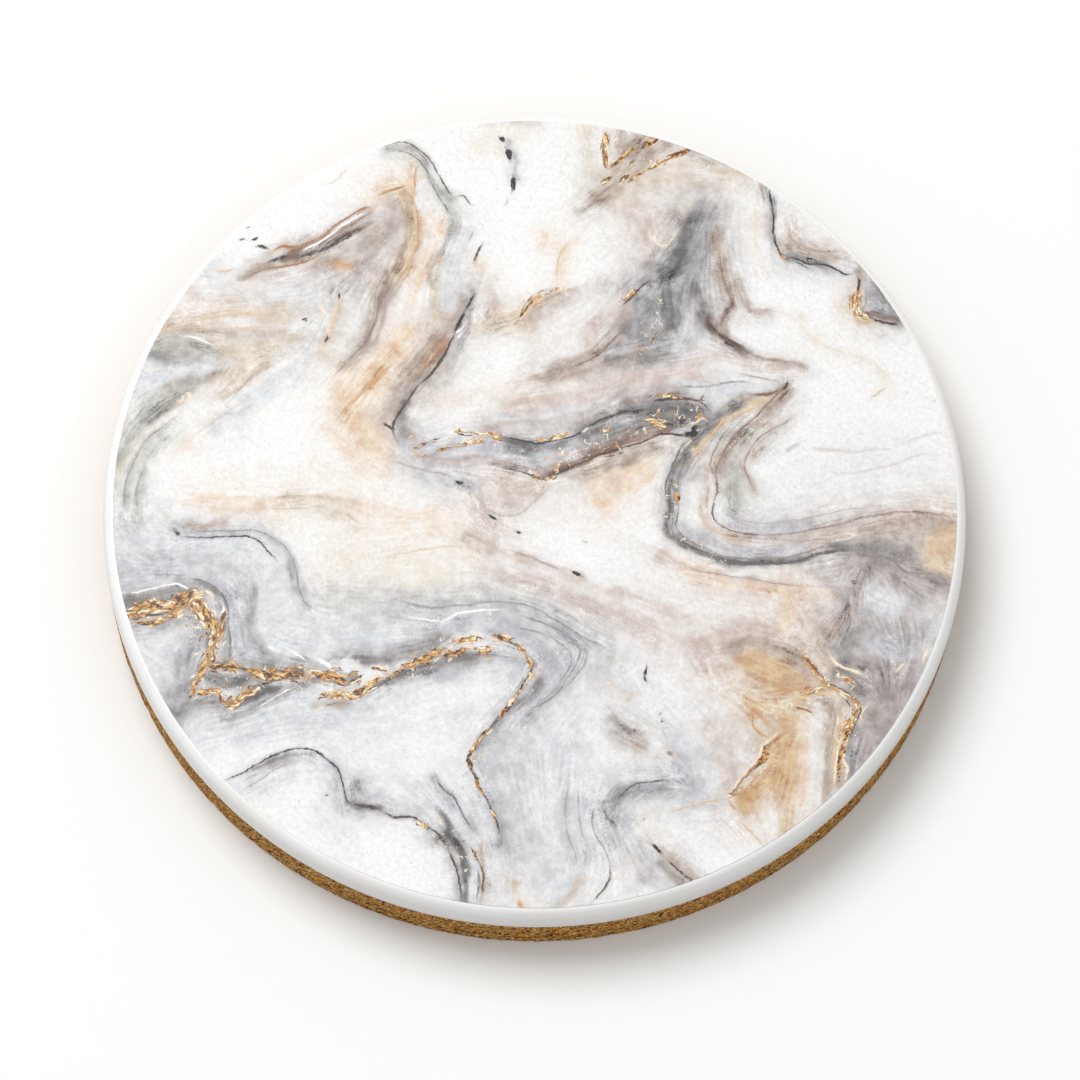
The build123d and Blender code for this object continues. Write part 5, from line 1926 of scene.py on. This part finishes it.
@dataclass(frozen=True)
class CeramicBody:
    """The white glazed disc with a rolled upper edge."""

    sides: int = 256
    roll_width: float = 1.2
    roll_height: float = 2.6
    foot_radius: float = 0.3
    roll_steps: int = 18
    foot_steps: int = 5

    def profile(self) -> Array:
        """Outline of the wall, from the edge of the underside to the edge of the flat top.

        Returns:
            Rows of radius and height, in millimetres.
        """
        low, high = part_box("ceramic_body")
        radius, bottom, top = reach("ceramic_body"), low.z / MM, high.z / MM
        turn = np.linspace(-math.pi / 2, 0, self.foot_steps)
        foot_x = radius - self.foot_radius * (1 - np.cos(turn))
        foot_z = bottom + self.foot_radius * (1 + np.sin(turn))
        turn = np.linspace(0, math.pi / 2, self.roll_steps)
        roll_x = radius - self.roll_width * (1 - np.cos(turn))
        roll_z = top - self.roll_height * (1 - np.sin(turn))
        return np.vstack([np.column_stack([foot_x, foot_z]), np.column_stack([roll_x, roll_z])])

    def shape(self) -> Piece:
        """Turn the outline round the middle.

        Returns:
            The piece.
        """
        outline = self.profile()
        rings = len(outline)
        turn = np.arange(self.sides) * 2 * math.pi / self.sides
        ring = np.column_stack([np.cos(turn), np.sin(turn)])
        corners = [np.column_stack([ring * x, np.full(self.sides, z)]) for x, z in outline]
        faces = []
        for k in range(rings - 1):
            lower = [k * self.sides + i for i in range(self.sides)]
            upper = [(k + 1) * self.sides + i for i in range(self.sides)]
            faces += skirt(upper, lower)
        faces.append(tuple(reversed(range(self.sides))))
        faces.append(tuple(range((rings - 1) * self.sides, rings * self.sides)))
        piece = mesh_piece("glazed_ceramic", np.vstack(corners) * MM, faces)
        for flat in piece.data.polygons[-2:]:
            flat.use_smooth = False
        return piece


@dataclass(frozen=True)
class CorkBase:
    """The pressed cork foot, with its granules in relief."""

    cells: int = 200
    rows: int = 22
    ease: float = 0.25
    lowest_share: float = 0.4
    top_share: float = 0.5
    relief: float = 0.11
    pit_depth: float = 0.16
    unrolled_radius: float = 50.0
    wall_grain: Numbers = (0.9, 0.7)
    wall_grain_start: float = 400.0
    wall_pits: Numbers = (0.7, 0.5)
    wall_pits_start: float = 200.0
    wall_pit_bounds: Numbers = (0.72, 0.88)
    floor_grain: float = 1.2
    floor_grain_start: float = 90.0
    floor_pits: float = 0.9
    floor_pits_start: float = 60.0
    floor_pit_bounds: Numbers = (0.74, 0.88)
    flat_margin: float = 0.6

    def worn(self, grain: Array, spots: Array, bounds: Numbers) -> Array:
        """Depth of the granules' relief and of the pits, where the spots pass from bound to bound."""
        pits = eased((spots - bounds[0]) / (bounds[1] - bounds[0]))
        return self.relief * (1 - grain) + self.pit_depth * pits

    def wall_wear(self, radius: float, turn: Array, level: float) -> Array:
        """How far the wall stands back at one height, in millimetres.

        Args:
            radius: radius of the wall.
            turn: angle of each spot, in radians.
            level: height of the spots.

        Returns:
            The setback of each spot.
        """
        around = turn * self.unrolled_radius
        (wide, tall), (pit_wide, pit_tall) = self.wall_grain, self.wall_pits
        along, up = around / wide + self.wall_grain_start, level / tall + radius / wide
        grain = layered(along, up, Seed.WALL_GRAIN)
        along, up = around / pit_wide + self.wall_pits_start, level / pit_tall + radius / pit_wide
        return self.worn(grain, patches(along, up, Seed.WALL_PITS), self.wall_pit_bounds)

    def floor_wear(self, floor: Array, radius: float) -> Array:
        """How far the underside stands up, in millimetres.

        Args:
            floor: spots of the underside, as rows of x and y.
            radius: radius of the underside, at which the wear ends.

        Returns:
            The height of each spot.
        """
        x, y = floor.T / self.floor_grain + self.floor_grain_start
        grain = layered(x, y, Seed.FLOOR_GRAIN)
        x, y = floor.T / self.floor_pits + self.floor_pits_start
        wear = self.worn(grain, patches(x, y, Seed.FLOOR_PITS), self.floor_pit_bounds)
        return wear * eased((radius - np.hypot(*floor.T)) / self.flat_margin)

    def shape(self) -> Piece:
        """Make the wall, the underside and the flat top.

        Returns:
            The piece.
        """
        low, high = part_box("cork_base")
        radius, height = reach("cork_base"), (high.z - low.z) / MM
        grid = RoundGrid(self.cells, radius - self.ease)
        floor, rim = grid.spots(), grid.rim()
        corners = [np.column_stack([floor, self.floor_wear(floor, radius - self.ease)])]
        count = len(floor)
        edge_x, edge_y = floor[rim].T
        turn = np.arctan2(edge_y, edge_x)
        heading = np.column_stack([np.cos(turn), np.sin(turn)])
        middle = np.linspace(self.ease, height - self.ease, self.rows)
        levels = [self.ease * self.lowest_share, *middle, height]
        rings = [rim]
        for level in levels:
            eased_in = self.ease * max(0.0, 1 - level / self.ease) ** 2
            back = self.wall_wear(radius, turn, level) + eased_in
            if level >= height:
                back = np.full(len(rim), self.ease * self.top_share)
            wall = heading * (radius - back)[:, None]
            corners.append(np.column_stack([wall, np.full(len(rim), level)]))
            rings.append(list(range(count, count + len(rim))))
            count += len(rim)
        faces = [tuple(reversed(face)) for face in grid.faces()]
        for lower, upper in zip(rings, rings[1:], strict=False):
            faces += skirt(upper, lower)
        faces.append(tuple(rings[-1]))
        piece = mesh_piece("cork_foot", np.vstack(corners) * MM, faces)
        piece.data.polygons[-1].use_smooth = False
        return piece


# ---- Studio


@dataclass(frozen=True)
class Studio:
    """White floor, soft light from the upper left and the camera.

    Lengths are in metres and angles in degrees; the focal length and both shifts are in pixels.
    """

    floor_size: float = 6.0
    fill: float = 0.56
    key_power: float = 11.6
    key_size: float = 0.9
    key_place: Numbers = (-0.5, 0.55, 1.2)
    camera_distance: float = 0.6
    elevation: float = 68.97
    roll: float = -2.27
    focal_pixels: float = 5118.2
    picture: float = 1080.0
    sensor: float = 36.0
    shift_right: float = 5.96
    shift_up: float = -7.76

    def floor(self) -> Piece:
        """Lay the floor.

        Returns:
            The floor.
        """
        half = self.floor_size / 2
        corners = half * np.array([(-1.0, -1, 0), (1, -1, 0), (1, 1, 0), (-1, 1, 0)])
        piece = mesh_piece("studio_floor", corners, [(0, 1, 2, 3)], smooth=False)
        piece.data.materials.append(Backdrop().make())
        return piece

    def lamp(self) -> None:
        """Hang the large soft lamp."""
        lamp = bpy.data.lights.new("soft_lamp", "AREA")
        lamp.shape = "DISK"
        lamp.size = self.key_size
        lamp.energy = self.key_power
        piece = bpy.data.objects.new("soft_lamp", lamp)
        piece.location = self.key_place
        piece.rotation_euler = piece.location.to_track_quat("Z", "Y").to_euler()
        bpy.context.scene.collection.objects.link(piece)

    def surround(self) -> None:
        """Light everything softly from all round."""
        world = bpy.data.worlds.new("surround")
        world.use_nodes = True
        background = world.node_tree.nodes["Background"]
        background.inputs["Color"].default_value = (1, 1, 1, 1)
        background.inputs["Strength"].default_value = self.fill
        bpy.context.scene.world = world

    def camera(self) -> None:
        """Set up the camera."""
        data = bpy.data.cameras.new("camera")
        data.sensor_width = self.sensor
        data.lens = self.focal_pixels / self.picture * self.sensor
        data.shift_x = self.shift_right / self.picture
        data.shift_y = self.shift_up / self.picture
        tilt, roll = math.radians(self.elevation), math.radians(self.roll)
        away = np.array([0, -math.cos(tilt), math.sin(tilt)])
        right = np.array([1.0, 0, 0])
        up = np.cross(away, right)
        turned_right = math.cos(roll) * right - math.sin(roll) * up
        turned_up = math.sin(roll) * right + math.cos(roll) * up
        rows = np.column_stack([turned_right, turned_up, away, away * self.camera_distance])
        piece = bpy.data.objects.new("camera", data)
        piece.matrix_world = Matrix([*rows.tolist(), [0, 0, 0, 1]])
        bpy.context.scene.collection.objects.link(piece)
        bpy.context.scene.camera = piece


# ---- Putting it together


def stand_in(piece: Piece, node: str, material: Material) -> None:
    """Let a piece stand for a CAD node.

    Args:
        piece: the piece.
        node: the CAD node that it replaces.
        material: the piece's finish.
    """
    piece.data.materials.append(material)
    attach(piece, BODY)
    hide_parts(node)
    LOG.info("%s stands for %s", piece.name, node)


def main() -> None:
    """Build the coaster's looks and the studio."""
    logging.basicConfig(level=logging.INFO, format="%(name)s: %(message)s")
    stand_in(CorkBase().shape(), "cork_base", Cork().make())
    stand_in(CeramicBody().shape(), "ceramic_body", Glaze().make())
    stand_in(PrintedTop().shape(), "printed_top", MarblePrint().make())
    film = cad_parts["adhesive_film"]
    film.data.materials.clear()
    film.data.materials.append(Adhesive().make())
    studio = Studio()
    studio.floor()
    studio.lamp()
    studio.surround()
    studio.camera()
    bpy.context.scene.view_settings.view_transform = "Standard"


if __name__ == "__main__":
    main()
